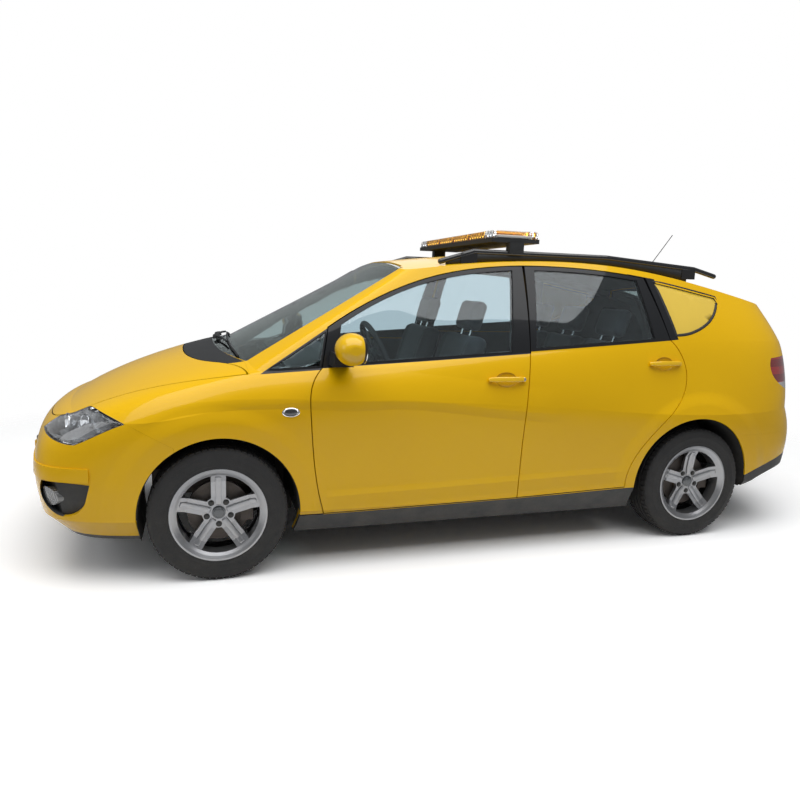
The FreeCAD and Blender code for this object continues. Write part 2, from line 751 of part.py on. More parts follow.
def window_edges(count):
    """The opening between two spokes that keep one width from hub to rim."""
    inner = 74
    outer = size("rim_well_radius") + 3
    half = size("spoke_width") / 2
    turn = 2 * math.pi / count
    corners = []
    for radius in (inner, outer):
        lean = math.asin(half / radius)
        corners.append((radius, lean))
        corners.append((radius, turn - lean))
    (r0, a0), (r1, a1), (r2, a2), (r3, a3) = corners

    def spot(radius, angle):
        return Vector(radius * math.sin(angle), radius * math.cos(angle), 0)

    return [
        Part.Arc(spot(r0, a0), spot(r0, (a0 + a1) / 2), spot(r1, a1)),
        Part.LineSegment(spot(r1, a1), spot(r3, a3)),
        Part.Arc(spot(r3, a3), spot(r2, (a2 + a3) / 2), spot(r2, a2)),
        Part.LineSegment(spot(r2, a2), spot(r0, a0)),
    ]


def rim_body(name):
    body = doc.addObject("PartDesign::Body", name)
    profile = sketch_on(body, name + "_profile", "XY_Plane", polygon_lines(rim_profile()))
    barrel = body.newObject("PartDesign::Revolution", name + "_barrel")
    barrel.Profile = profile
    barrel.ReferenceAxis = (profile, ["V_Axis"])
    barrel.Angle = 360
    doc.recompute()
    window = sketch_on(body, name + "_window", "XZ_Plane", window_edges(int(size("spoke_count"))))
    pocket = body.newObject("PartDesign::Pocket", name + "_opening")
    pocket.Profile = window
    pocket.Type = "Length"
    bind(pocket, "Length", "rim_width")
    pocket.Midplane = True
    doc.recompute()
    pattern = body.newObject("PartDesign::PolarPattern", name + "_spokes")
    pattern.Originals = [pocket]
    pattern.Axis = (origin_axis(body), [""])
    pattern.Angle = 360
    bind(pattern, "Occurrences", "spoke_count")
    body.Tip = pattern
    doc.recompute()
    return body


def origin_axis(body):
    return next(item for item in body.Origin.OriginFeatures if item.Role == "Y_Axis")


def tyre_section():
    radius = size("tyre_radius")
    half = size("tyre_width") / 2
    bead = size("bead_radius") + touch
    seat = size("rim_width") / 2 - 8 - touch
    side = [(bead, seat), (radius - 64, half), (radius - 16, half - 7), (radius, half - 37)]
    return side + [(r, -w) for r, w in reversed(side)]


def tyre_body(name):
    body = doc.addObject("PartDesign::Body", name)
    profile = sketch_on(body, name + "_section", "XY_Plane", polygon_lines(tyre_section()))
    ring = body.newObject("PartDesign::Revolution", name + "_ring")
    ring.Profile = profile
    ring.ReferenceAxis = (profile, ["V_Axis"])
    ring.Angle = 360
    body.Tip = ring
    doc.recompute()
    return body


def stand(item, x, y, z, turn=0.0, label=None):
    item.Placement = FreeCAD.Placement(Vector(x, y, z), FreeCAD.Rotation(Vector(0, 0, 1), turn))
    item.Label = label or item.Name
    PARTS[item.Label] = item


hub_z = size("hub_height")
WHEELS = (
    ("front_left", front_axle, size("front_track") / 2, 0),
    ("front_right", front_axle, -size("front_track") / 2, 180),
    ("rear_left", rear_axle, size("rear_track") / 2, 0),
    ("rear_right", rear_axle, -size("rear_track") / 2, 180),
)
for place, x, y, turn in WHEELS:
    stand(rim_body(place + "_rim"), x, y, hub_z, turn)
    stand(tyre_body(place + "_tyre"), x, y, hub_z, turn)


# Front knuckles with hub, disc, caliper and strut, turning about the line from ball joint to tower
face = size("hub_face_offset")
front_y = size("front_track") / 2
rear_y = size("rear_track") / 2
disc = size("disc_thickness")
ball = Vector(front_axle, front_y - 32, 190)
tower_plate_z = 862
tower_ball = 14
tower = Vector(front_axle, front_y - 185, tower_plate_z - touch - tower_ball)
arm_top = ball.z + 12
lower_ball = 12
flange = 16


def hub_and_brake(x, y):
    """Hub flange, spigot, brake disc and caliper of a left wheel."""
    back = y + face - 12 - touch
    bore = size("hub_bore_radius") - touch
    radius = size("disc_radius")
    pieces = [
        cylinder(bore, Vector(x, back - 5, hub_z), Vector(x, back + 14, hub_z)),
        cylinder(74, Vector(x, back - flange, hub_z), Vector(x, back, hub_z)),
        cylinder(radius, Vector(x, back - flange - disc, hub_z), Vector(x, back - flange, hub_z)),
        cylinder(42, Vector(x, back - 90, hub_z), Vector(x, back - flange - disc, hub_z)),
        block((x - radius - 15, x - radius + 42), (back - 74, back - 6), (hub_z - 54, hub_z + 54)),
    ]
    return pieces


def knuckle():
    back = front_y + face - 12 - touch - 90
    pieces = hub_and_brake(front_axle, front_y)
    pieces.append(block((front_axle - 30, front_axle + 30), (back - 22, back + 6),
                        (arm_top + 9, hub_z + 70)))
    pieces.append(block((front_axle - 24, front_axle + 24), (back - 22, front_y - 8),
                        (arm_top + 9, arm_top + 30)))
    pieces.append(Part.makeSphere(lower_ball, ball + (tower - ball) * (
        (arm_top + lower_ball - ball.z) / (tower.z - ball.z))))
    low = Vector(front_axle, tower.y - 4, hub_z + 60)
    pieces.append(block((front_axle - 26, front_axle + 26), (tower.y - 30, back + 6),
                        (hub_z + 40, hub_z + 78)))
    pieces.append(cylinder(25, low, tower - Vector(0, 0, 18)))
    pieces.append(cylinder(62, Vector(front_axle, tower.y, tower.z - 240),
                           Vector(front_axle, tower.y, tower.z - 30)))
    pieces.append(cylinder(9, tower - Vector(0, 0, 30), tower))
    pieces.append(Part.makeSphere(tower_ball, tower))
    return joined(pieces)


left_knuckle = knuckle()
shaped("front_left_knuckle", left_knuckle)
shaped("front_right_knuckle", across(left_knuckle))


# Chassis: subframe with lower arms, rear axle, exhaust, tank and engine
pan_z = size("floor_height")
pan_top = pan_z + size("floor_thickness")
boot_floor = 520
heel_x = -970


def subframe():
    arm = joined([
        block((front_axle - 18, front_axle + 18), (300, ball.y), (ball.z - 16, arm_top - touch)),
        cylinder(18, Vector(ball.x, ball.y, ball.z - 16), Vector(ball.x, ball.y, arm_top - touch)),
        block((front_axle - 330, front_axle - 20), (300, 430), (ball.z - 16, ball.z + 8)),
    ])
    cross = block((front_axle - 380, front_axle - 60), (-440, 440), (ball.z - 10, pan_z - touch))
    return joined([cross, arm, across(arm)])


def rear_axle_frame():
    pieces = [block((rear_axle - 60, rear_axle + 60), (-500, 500), (hub_z - 60, hub_z + 30))]
    inner = rear_y + face - 12 - touch - 90
    for turned in (lambda shape: shape, across):
        side = joined(hub_and_brake(rear_axle, rear_y) + [
            block((rear_axle - 40, rear_axle + 40), (480, inner + 6), (hub_z - 50, hub_z + 30)),
            block((rear_axle, heel_x - touch), (490, 530), (hub_z - 40, hub_z + 10)),
            cylinder(48, Vector(rear_axle + 20, 440, hub_z + 20),
                     Vector(rear_axle + 20, 440, boot_floor - touch)),
        ])
        pieces.append(turned(side))
    return joined(pieces)


shaped("front_subframe", subframe())
shaped("rear_axle", rear_axle_frame())
pipe = 27
exhaust_route = [Vector(front_axle - 380 - touch, 0, 215), Vector(-1340, 0, 215), Vector(-1640, 0, 290)]
exhaust = joined([cylinder(pipe, a, b) for a, b in zip(exhaust_route, exhaust_route[1:])] + [
    Part.makeSphere(pipe, exhaust_route[1]),
    cylinder(78, Vector(-1680, -330, 292), Vector(-1680, 330, 292)),
    cylinder(26, Vector(-1700, -290, 292), Vector(-2020, -290, 268)),
    block((-340, -320), (-20, 20), (215, pan_z - touch)),
    block((-1695, -1665), (-260, -230), (340, boot_floor - touch)),
    block((-1695, -1665), (230, 260), (340, boot_floor - touch)),
])
shaped("exhaust", exhaust)


# Floor, bulkhead and wheel tubs
liner_radius = size("front_arch_radius")


def floor_pan():
    pieces = [
        block((heel_x + 20, 1080), (-900, 900), (pan_z, pan_top)),
        block((-2130, heel_x), (-900, 900), (boot_floor, boot_floor + 40)),
        block((heel_x, heel_x + 40), (-900, 900), (pan_z, boot_floor + 40)),
        block((-240, 1080), (-110, 110), (pan_top, 380)),
        block((1040, 1080), (-900, 900), (pan_z, 940)),
    ]
    pan = joined(pieces).common(mass_cabin)
    for turned in (lambda shape: shape, across):
        radius = size("rear_arch_radius")
        centre = rear_axle + 17
        outer = cylinder(radius + 22, Vector(centre, 560, hub_z), Vector(centre, 900, hub_z))
        tub = outer.cut(arch(centre, radius, (585, 1000))).common(mass_cabin)
        passage = block((rear_axle - 60, rear_axle + 60), (500, 600), (100, hub_z + 60))
        pan = pan.fuse(turned(tub)).cut(turned(arch(centre, radius, (585, 1000))))
        pan = pan.cut(turned(passage)).cut(turned(arch(front_axle - 8, liner_radius + touch, (500, 1000))))
    tunnel = block((-200, 1040), (-70, 70), (150, 340))
    return pan.cut(tunnel).removeSplitter()


shaped("floor_pan", floor_pan())


def front_frame():
    layer = mass_seat.cut(mass_wall)
    upper = layer.common(block((1085, 2040), (565, 900), (700, 930 - touch)))
    slam = layer.common(block((1960, 2060), (-900, 900), (690, 900)))
    beam = layer.common(block((1990, 2300), (-600, 600), (470, 560)))
    pieces = [upper, across(upper), slam, beam]
    for turned in (lambda shape: shape, across):
        rail = block((1080 + touch, 2100), (390, 460), (430, 550))
        plate = block((front_axle - 90, front_axle + 90), (440, 690), (tower_plate_z, tower_plate_z + 16))
        post = block((front_axle - 120, front_axle + 120), (440, 500), (540, tower_plate_z + 16))
        brace = block((front_axle - 120, front_axle + 120), (440, 460), (430, 540))
        strut = block((1960, 2020), (400, 460), (540, 690))
        pieces += [turned(item) for item in (rail, plate, post, brace, strut)]
    return joined(pieces)


shaped("front_frame", front_frame())
liner = arch(front_axle - 8, liner_radius - touch, (668, 862)).cut(
    arch(front_axle - 8, liner_radius - 5, (400, 1000)))
liner = liner.cut(block((900, 1900), (400, 1000), (-200, hub_z)))
shaped("front_wheel_liners", Part.makeCompound([liner, across(liner)]))

engine = primitive("Box", "engine_block",
                   {"Length": "engine_length", "Width": "engine_width", "Height": "engine_height"},
                   ("body_length / 2 - front_overhang - 240", "-engine_width / 2", "floor_height"))
PARTS["engine_block"] = engine
tank = primitive("Box", "fuel_tank",
                 {"Length": "tank_length", "Width": "tank_width", "Height": "tank_height"},
                 ("-300 - tank_length", "-60 - tank_width", "floor_height - tank_height - seat_gap"))
PARTS["fuel_tank"] = tank


# Cabin
def dashboard():
    back = 1040 - touch
    region = prism("side", [[(back, 960)], [(back, 560)], [(900, 560)], [(700, 700)], [(640, 850)],
                            [(700, 985)], [(850, 1010)]], -900, 900)
    body = region.common(inner_mass(depth_wall + 8))
    column = cylinder(24, STEERING_HUB + STEERING_AXIS * 220, STEERING_HUB + STEERING_AXIS * (30 + touch))
    return joined([body, column])


STEERING_HUB = Vector(520, 370, 985)
STEERING_AXIS = Vector(math.cos(math.radians(24)), 0, -math.sin(math.radians(24)))


def steering_wheel():
    radius = size("steering_wheel_radius")
    grip = size("steering_grip_radius")
    corners = []
    for step in range(8):
        angle = math.radians(45 * step + 22.5)
        corners.append(Vector(radius + grip * math.cos(angle), 0, grip * math.sin(angle)))
    section = Part.Face(Part.makePolygon(corners + corners[:1]))
    ring = section.revolve(Vector(0, 0, 0), Vector(0, 0, 1), 360)
    ring.Placement = FreeCAD.Placement(STEERING_HUB, FreeCAD.Rotation(Vector(0, 0, 1), STEERING_AXIS))
    hub = Part.makeCylinder(52, 36, STEERING_HUB - STEERING_AXIS * 6, STEERING_AXIS)
    pieces = [ring, hub]
    for angle in (90, 210, 330):
        arm = Part.makeBox(radius - 4, 34, 16, Vector(0, -17, -8))
        arm.rotate(Vector(0, 0, 0), Vector(0, 0, 1), angle)
        arm.Placement = FreeCAD.Placement(STEERING_HUB, FreeCAD.Rotation(
            Vector(0, 0, 1), STEERING_AXIS)).multiply(arm.Placement)
        pieces.append(arm)
    return joined(pieces)


shaped("dashboard", dashboard())
shaped("steering_wheel", steering_wheel())


def seat(y, x, width, depth, height, lean):
    cushion = block((x, x + depth), (y - width / 2, y + width / 2), (pan_top + touch, 620))
    back = block((0, 110), (-width / 2 + 10, width / 2 - 10), (0, height))
    back.Placement = FreeCAD.Placement(Vector(x + 20, y, 560), FreeCAD.Rotation(Vector(0, 1, 0), -lean))
    rest = block((20, 100), (-130, 130), (height - 5, height + 190))
    rest.Placement = back.Placement
    return joined([cushion, back, rest])


front_seat = seat(370, 90, 500, 500, 560, 16)
shaped("front_seats", Part.makeCompound([front_seat, across(front_seat)]))
rear_seats = [seat(y, -760, 420, 480, 540, 18) for y in (-440, 0, 440)]
shaped("rear_seats", Part.makeCompound(rear_seats))


# Roof equipment
def roof_rail():
    radius = size("rail_radius")
    route = [(260, 1490, 590), (80, 1546, 592), (-700, 1546, 592), (-1290, 1505, 580), (-1440, 1470, 575)]
    points = [Vector(x, y, z) for x, z, y in route]
    pieces = [cylinder(radius, a, b) for a, b in zip(points, points[1:])]
    pieces += [Part.makeSphere(radius, point) for point in points]
    pieces += [block((x - 45, x + 45), (y - 12, y + 12), (z - 60, z)) for x, z, y in
               ((110, 1535, 592), (-1250, 1508, 581))]
    return joined(pieces).cut(mass_over)


def skin_top(x, y):
    """The height of the outer skin over one point."""
    return mass.common(Part.makeLine(Vector(x, y, 1000), Vector(x, y, 2000))).BoundBox.ZMax


mass_over = body_mass(-touch)
rail = roof_rail()
shaped("roof_rails", Part.makeCompound([rail, across(rail)]))
bar_x = -150
bar_z = size("light_bar_base")
bar_length = size("light_bar_length")
bar_width = size("light_bar_width")
bar_height = size("light_bar_height")
base = block((bar_x - bar_width / 2, bar_x + bar_width / 2), (-bar_length / 2, bar_length / 2),
             (bar_z, bar_z + 22))
feet = [block((bar_x - 40, bar_x + 40), (y - 24, y + 24), (1544, bar_z)) for y in (-592, 592)]
channels = [cylinder(size("rail_radius") + touch, Vector(bar_x - 60, y, 1546), Vector(bar_x + 60, y, 1546))
            for y in (-592, 592)]
shaped("light_bar_base", joined([base] + feet).cut(Part.makeCompound(channels)))


def bar_module(start, end):
    box = block((bar_x - bar_width / 2 + 6, bar_x + bar_width / 2 - 6), (start, end),
                (bar_z + 22 + touch, bar_z + bar_height))
    return box.makeFillet(12, [edge for edge in box.Edges if edge.CenterOfMass.z > bar_z + bar_height - 1])


module_gap = size("module_gap")
end_module = 110
inner_length = bar_length - 12 - 2 * (end_module + module_gap)
amber = []
for step in range(4):
    start = -inner_length / 2 + step * (inner_length + module_gap) / 4
    amber.append(bar_module(start, start + (inner_length - 3 * module_gap) / 4))
shaped("light_bar_lens", Part.makeCompound(amber))
end_block = bar_module(bar_length / 2 - 6 - end_module, bar_length / 2 - 6)
shaped("light_bar_ends", Part.makeCompound([end_block, across(end_block)]))
mast = Vector(-1375, 0, skin_top(-1375, 0))
whip = joined([Part.makeCone(32, 14, 46, mast - Vector(0, 0, 16)),
               cylinder(2.5, mast + Vector(0, 0, 20),
                        mast + Vector(-0.6, 0, 0.8) * size("whip_length") + Vector(0, 0, 20))])
shaped("antenna", whip.cut(mass_over))


# Door mirrors
def mirror():
    foot = prism("side", [[(772, 992)], [(868, 992)], [(858, 1052)], [(800, 1040)]], 780, 920)
    sections = []
    for y, wide, high in ((893, 34, 30), (918, 58, 54), (970, 72, 70), (1035, 70, 66),
                          (1070, 50, 44), (1084, 20, 18)):
        oval = Part.Ellipse(Vector(wide, 0, 0), Vector(0, high, 0), Vector(0, 0, 0))
        wire = Part.Wire(oval.toShape())
        wire.Placement = FreeCAD.Placement(
            Vector(800, y, 1080), FreeCAD.Rotation(Vector(1, 0, 0), 90))
        sections.append(wire)
    head = Part.makeLoft(sections, True).cut(block((600, 745), (800, 1200), (900, 1300)))
    return joined([foot, head]).cut(mass_over)


left_mirror = mirror()
shaped("mirror_left", left_mirror)
shaped("mirror_right", across(left_mirror))
cowl = outer_layer(prism("top", COWL, 850, 1300, -touch)).cut(bonnet_hole).cut(windscreen_hole)
shaped("cowl_panel", max(cowl.Solids, key=lambda s: s.Volume))
sill = outer_layer(side_prism(SILL, -gap / 2 - touch))
sill = sill.cut(rear_arch).cut(front_arch)
shaped("sill_trims", Part.makeCompound([sill, across(sill)]))

doc.recompute()
for item in doc.Objects:
    if {"Invalid", "Error"} & set(item.State):
        raise RuntimeError("object failed: " + item.Name)
for name, item in PARTS.items():
    if item.Shape.isNull() or not item.Shape.isValid():
        raise RuntimeError("shape failed: " + name)
os.makedirs("parts", exist_ok=True)
for name, item in PARTS.items():
    item.Shape.exportStep("parts/%s.step" % name)
print(len(PARTS), "pieces written")
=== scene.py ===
import json
import math

import bpy
import bmesh
from mathutils import Matrix, Vector


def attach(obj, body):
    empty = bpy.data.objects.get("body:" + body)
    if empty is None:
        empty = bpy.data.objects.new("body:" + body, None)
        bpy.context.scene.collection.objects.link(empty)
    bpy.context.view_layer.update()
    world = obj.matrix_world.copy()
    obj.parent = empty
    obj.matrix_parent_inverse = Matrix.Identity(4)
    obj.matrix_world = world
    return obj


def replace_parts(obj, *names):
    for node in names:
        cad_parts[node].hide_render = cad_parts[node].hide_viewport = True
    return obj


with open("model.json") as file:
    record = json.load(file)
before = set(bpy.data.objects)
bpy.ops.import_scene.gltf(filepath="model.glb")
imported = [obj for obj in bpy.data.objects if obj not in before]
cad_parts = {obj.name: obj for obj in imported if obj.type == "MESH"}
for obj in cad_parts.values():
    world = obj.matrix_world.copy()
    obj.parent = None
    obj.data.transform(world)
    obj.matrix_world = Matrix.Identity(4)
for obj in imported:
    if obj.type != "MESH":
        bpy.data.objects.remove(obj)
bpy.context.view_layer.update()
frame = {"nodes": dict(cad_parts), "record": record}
nodes = frame["nodes"]

# Camera: place in metres, turn in degrees, focal length in pixels of the 800 pixel frame
CAMERA_PLACE = Vector((1.42019, 3.81445, 1.36574))
CAMERA_YAW = math.radians(-16.723)
CAMERA_PITCH = math.radians(9.916)
CAMERA_ROLL = math.radians(1.815)
FOCAL_PIXELS = 658.757
FRAME_PIXELS = 800
SENSOR_WIDTH = 36.0

# The car's own places, in metres
FRONT_AXLE = 1.3705
REAR_AXLE = -1.2075
HUB_HEIGHT = 0.314
AXLES = (("front", FRONT_AXLE, 0.7705), ("rear", REAR_AXLE, 0.7585))
SIDES = (("left", 1), ("right", -1))
# Middle (x, z) of each door handle
HANDLES = (("front", -0.014, 0.918), ("rear", -0.954, 0.990))

# Soft panels: name, place, the point that it faces, size, watts
PANELS = (
    ("sky_panel", (0.3, 1.9, 6.0), (0, 0, 0.4), (9, 6), 465),
    ("front_panel", (6, 1.5, 3.2), (0.5, 0, 0.6), (3, 3), 45),
    ("far_panel", (-3.0, -5.0, 4.0), (0, 0, 0.8), (5, 3), 45),
)
WORLD_TINT = (0.93, 0.96, 1.0, 1)
WORLD_STRENGTH = 0.26
# The floor's colour where it lights the car, and where it is seen
FLOOR_LIT = (0.50, 0.49, 0.45)
FLOOR_SEEN = (1.18, 1.18, 1.18)
FLOOR_SIZE = 8
# The floor is solid up to the first distance and gone at the second
FLOOR_FADE = (2.7, 4.6)


# Camera, light and floor

def put(name, data):
    """A new object in the scene."""
    item = bpy.data.objects.new(name, data)
    bpy.context.scene.collection.objects.link(item)
    return item


def make_camera():
    data = bpy.data.cameras.new("camera")
    data.sensor_width = SENSOR_WIDTH
    data.lens = FOCAL_PIXELS / FRAME_PIXELS * SENSOR_WIDTH
    data.clip_end = 100
    camera = put("camera", data)
    ahead = Vector((
        math.sin(CAMERA_YAW) * math.cos(CAMERA_PITCH),
        -math.cos(CAMERA_YAW) * math.cos(CAMERA_PITCH),
        -math.sin(CAMERA_PITCH),
    ))
    level = ahead.cross(Vector((0, 0, 1))).normalized()
    upright = level.cross(ahead)
    right = math.cos(CAMERA_ROLL) * level + math.sin(CAMERA_ROLL) * upright
    up = math.cos(CAMERA_ROLL) * upright - math.sin(CAMERA_ROLL) * level
    turn = Matrix((right, up, -ahead)).transposed().to_4x4()
    camera.matrix_world = Matrix.Translation(CAMERA_PLACE) @ turn
    bpy.context.scene.camera = camera


def make_panel(name, place, target, size, power):
    data = bpy.data.lights.new(name, "AREA")
    data.shape = "RECTANGLE"
    data.size, data.size_y = size
    data.energy = power
    place = Vector(place)
    turn = (Vector(target) - place).to_track_quat("-Z", "Y").to_matrix().to_4x4()
    put(name, data).matrix_world = Matrix.Translation(place) @ turn


class Shading:
    """A node tree that is written as expressions on its sockets."""

    def __init__(self, tree):
        self.tree = tree

    def feed(self, socket, value):
        """Gives a socket a link where the value is a socket, and else a plain value."""
        if isinstance(value, bpy.types.NodeSocket):
            self.tree.links.new(value, socket)
        else:
            socket.default_value = value

    def add(self, kind, inputs=None, **settings):
        node = self.tree.nodes.new(kind)
        for key, value in settings.items():
            setattr(node, key, value)
        for key, value in (inputs or {}).items():
            self.feed(node.inputs[key], value)
        return node

    def math(self, operation, *values, clamp=False):
        node = self.add("ShaderNodeMath", dict(enumerate(values)), operation=operation)
        node.use_clamp = clamp
        return node.outputs[0]

    def times(self, first, second, clamp=False):
        return self.math("MULTIPLY", first, second, clamp=clamp)

    def minus(self, first, second, clamp=False):
        return self.math("SUBTRACT", first, second, clamp=clamp)

    def most(self, first, *others):
        for other in others:
            first = self.math("MAXIMUM", first, other)
        return first

    def squares(self, first, second):
        """The sum of two squares."""
        return self.math("ADD", self.times(first, first), self.times(second, second))

    def ramp(self, value, low, high, start=0.0, end=1.0):
        return self.add("ShaderNodeMapRange", {
            "Value": value, "From Min": low, "From Max": high,
            "To Min": start, "To Max": end}).outputs[0]

    def blend(self, share, first, second):
        first, second = (color if isinstance(color, bpy.types.NodeSocket) else (*color, 1)
                         for color in (first, second))
        inputs = {0: share, 6: first, 7: second}
        return self.add("ShaderNodeMix", inputs, data_type="RGBA").outputs[2]

    def bump(self, height, distance, strength=1.0, **under):
        return self.add("ShaderNodeBump", {
            "Height": height, "Distance": distance, "Strength": strength, **under}).outputs[0]

    def place(self):
        return self.add("ShaderNodeTexCoord").outputs["Object"]

    def parts(self, vector):
        return self.add("ShaderNodeSeparateXYZ", {0: vector}).outputs

    def noise(self, vector, scale, detail=3.0, roughness=0.5):
        return self.add("ShaderNodeTexNoise", {
            "Vector": vector, "Scale": scale, "Detail": detail, "Roughness": roughness}).outputs[0]

    def group(self, tree, **inputs):
        node = self.add("ShaderNodeGroup")
        node.node_tree = tree
        for key, value in inputs.items():
            self.feed(node.inputs[key.capitalize()], value)
        return node.outputs


def make_world_and_floor():
    scene = bpy.context.scene
    scene.view_settings.view_transform = "Standard"
    world = bpy.data.worlds.new("studio")
    scene.world = world
    world.use_nodes = True
    world.node_tree.nodes.clear()
    shading = Shading(world.node_tree)
    light = shading.add("ShaderNodeBackground", {"Color": WORLD_TINT, "Strength": WORLD_STRENGTH})
    seen = shading.add("ShaderNodeBackground", {"Color": (1, 1, 1, 1), "Strength": 1.0})
    path = shading.add("ShaderNodeLightPath").outputs
    direct = shading.most(path["Is Camera Ray"], path["Is Transmission Ray"])
    mix = shading.add("ShaderNodeMixShader", {
        0: direct, 1: light.outputs[0], 2: seen.outputs[0]})
    shading.add("ShaderNodeOutputWorld", {"Surface": mix.outputs[0]})
    made, shading, shader = material("floor_paint", (0.4, 0.4, 0.4), 0.9, specular_ior_level=0.0)
    path = shading.add("ShaderNodeLightPath").outputs
    direct = shading.most(path["Is Glossy Ray"], path["Is Transmission Ray"], path["Is Camera Ray"])
    wire(shading, shading.blend(direct, FLOOR_LIT, FLOOR_SEEN), shader, "Base Color")
    x, y, _ = shading.parts(shading.place())
    away = shading.math("SQRT", shading.squares(x, y))
    wire(shading, shading.ramp(away, *FLOOR_FADE, 1.0, 0.0), shader, "Alpha")
    bm = bmesh.new()
    bmesh.ops.create_grid(bm, x_segments=1, y_segments=1, size=FLOOR_SIZE)
    mesh = bpy.data.meshes.new("floor")
    bm.to_mesh(mesh)
    bm.free()
    mesh.materials.append(made)
    put("floor", mesh)


# Node groups that several finishes share

DUST_BROWN = (0.30, 0.27, 0.22)
SOCKET_KINDS = {"f": "NodeSocketFloat", "c": "NodeSocketColor", "v": "NodeSocketVector"}


def new_group(name, inputs, outputs):
    tree = bpy.data.node_groups.new(name, "ShaderNodeTree")
    for way, rows in (("INPUT", inputs), ("OUTPUT", outputs)):
        for label, kind in rows:
            tree.interface.new_socket(label, in_out=way, socket_type=SOCKET_KINDS[kind])
    shading = Shading(tree)
    entry = shading.add("NodeGroupInput").outputs
    leave = shading.add("NodeGroupOutput").inputs
    return shading, entry, leave


def make_grain():
    """Fine bumps at one scale: moulded plastic, rubber, brushed metal."""
    shading, entry, leave = new_group(
        "grain", [("Scale", "f"), ("Depth", "f")], [("Normal", "v"), ("Mask", "f")])
    noise = shading.noise(shading.place(), entry["Scale"], 2.0)
    shading.feed(leave["Normal"], shading.bump(noise, entry["Depth"]))
    shading.feed(leave["Mask"], noise)
    return shading.tree


def make_road_dust():
    """Dust that settles low on the car, thicker toward the ground."""
    shading, entry, leave = new_group(
        "road_dust", [("Color", "c"), ("Amount", "f"), ("Reach", "f")],
        [("Color", "c"), ("Share", "f")])
    place = shading.place()
    height = shading.parts(place)[2]
    low = shading.minus(1.0, shading.math("DIVIDE", height, entry["Reach"]), clamp=True)
    cloud = shading.ramp(shading.noise(place, 9.0, 6.0, 0.65), 0.35, 0.75)
    fleck = shading.ramp(shading.noise(place, 140.0, 2.0), 0.45, 0.8)
    share = shading.times(shading.times(low, cloud), entry["Amount"])
    share = shading.math("MULTIPLY_ADD", fleck, shading.times(share, 0.6), share, clamp=True)
    shading.feed(leave["Color"], shading.blend(share, entry["Color"], DUST_BROWN))
    shading.feed(leave["Share"], share)
    return shading.tree


def make_weave():
    """Woven cloth: two crossed sets of threads with a little fuzz."""
    shading, entry, leave = new_group(
        "weave", [("Color", "c"), ("Thread", "c"), ("Scale", "f")],
        [("Color", "c"), ("Normal", "v")])
    place = shading.parts(shading.place())
    waves = []
    for pair in ((0, 1), (1, 2), (0, 2)):
        waves.append(shading.times(*(
            shading.math("SINE", shading.times(place[axis], entry["Scale"])) for axis in pair)))
    height = shading.most(*waves)
    fuzz = shading.noise(shading.place(), 60.0, 4.0)
    share = shading.math("MULTIPLY_ADD", height, 0.35, shading.times(fuzz, 0.5), clamp=True)
    shading.feed(leave["Color"], shading.blend(share, entry["Color"], entry["Thread"]))
    shading.feed(leave["Normal"], shading.bump(height, 0.0006, 0.7))
    return shading.tree


# Convex outlines in the side view, as (x, z): black frames and pillars between the windows
DOOR_FRAMES = (
    [(0.96, 0.9695), (-0.161, 1.0438), (-0.200, 1.60), (0.96, 1.60)],
    [(-0.160, 1.0537), (-1.20, 1.127), (-1.20, 1.60), (-0.180, 1.60)],
)
PILLARS = (
    [(-0.80, 1.095), (-1.06, 1.1185), (-0.972, 1.440), (-0.80, 1.462)],
    [(1.180, 0.948), (0.80, 0.974), (0.80, 1.196), (0.854, 1.162)],
)
MASK_EDGE = 0.0006
# How far a panel's face turns inward, as a cosine, where paint gives way to inner trim
INNER_FACING = (-0.48, -0.5)
# Half length and half height of the cup behind a handle
CUP_HALF = (0.058, 0.036)

# The pressed line along the side, as (x, z) from the headlamp to the rear door
CREASE = [
    (1.749, 0.746), (1.635, 0.796), (1.479, 0.830), (1.317, 0.841), (1.095, 0.843), (0.958, 0.838),
    (0.747, 0.827), (0.540, 0.831), (0.282, 0.806), (0.009, 0.771), (-0.427, 0.729)]
CREASE_HEIGHT = 0.007
# How far the line is felt above and below it, and how it fades at its rear and front end
CREASE_REACH = (0.13, 0.045)
CREASE_FADES = (0.35, 0.25)
# The low line above the sill: its height at x = 0 and its slope, then as above
SILL_LINE = (0.392, -0.025)
SILL_CREASE_HEIGHT = 0.005
SILL_CREASE_REACH = (0.030, 0.060)
SILL_CREASE_ENDS = ((-0.80, -0.62), (0.93, 0.80))
# Flares over the wheel arches: axle, radius where it is full, radius where it ends
FLARES = ((FRONT_AXLE, 0.425, 0.505), (REAR_AXLE, 0.445, 0.530))
FLARE_HEIGHT = 0.012


def side_mask(shading, x, z, outlines):
    """One inside any of the convex outlines of the side view."""
    masks = []
    for outline in outlines:
        mask = None
        middle = [sum(values) / len(outline) for values in zip(*outline)]
        for (ax, az), (bx, bz) in zip(outline, outline[1:] + outline[:1]):
            run = math.hypot(bx - ax, bz - az)
            across, up = (az - bz) / run, (bx - ax) / run
            offset = -(across * ax + up * az)
            if across * middle[0] + up * middle[1] + offset < 0:
                across, up, offset = -across, -up, -offset
            value = shading.math("MULTIPLY_ADD", x, across, offset)
            value = shading.math("MULTIPLY_ADD", z, up, value)
            mask = value if mask is None else shading.math("MINIMUM", mask, value)
        masks.append(mask)
    return sharp(shading, shading.most(*masks))


def sharp(shading, distance):
    """One where a distance is above nothing, with a narrow soft edge."""
    return shading.ramp(distance, -MASK_EDGE, MASK_EDGE)


def ridge(shading, away, reach):
    """One on a line, down to nothing at its reach above and below."""
    above, below = reach
    slope = shading.most(shading.math("DIVIDE", away, above), shading.math("DIVIDE", away, -below))
    return shading.minus(1.0, slope, clamp=True)


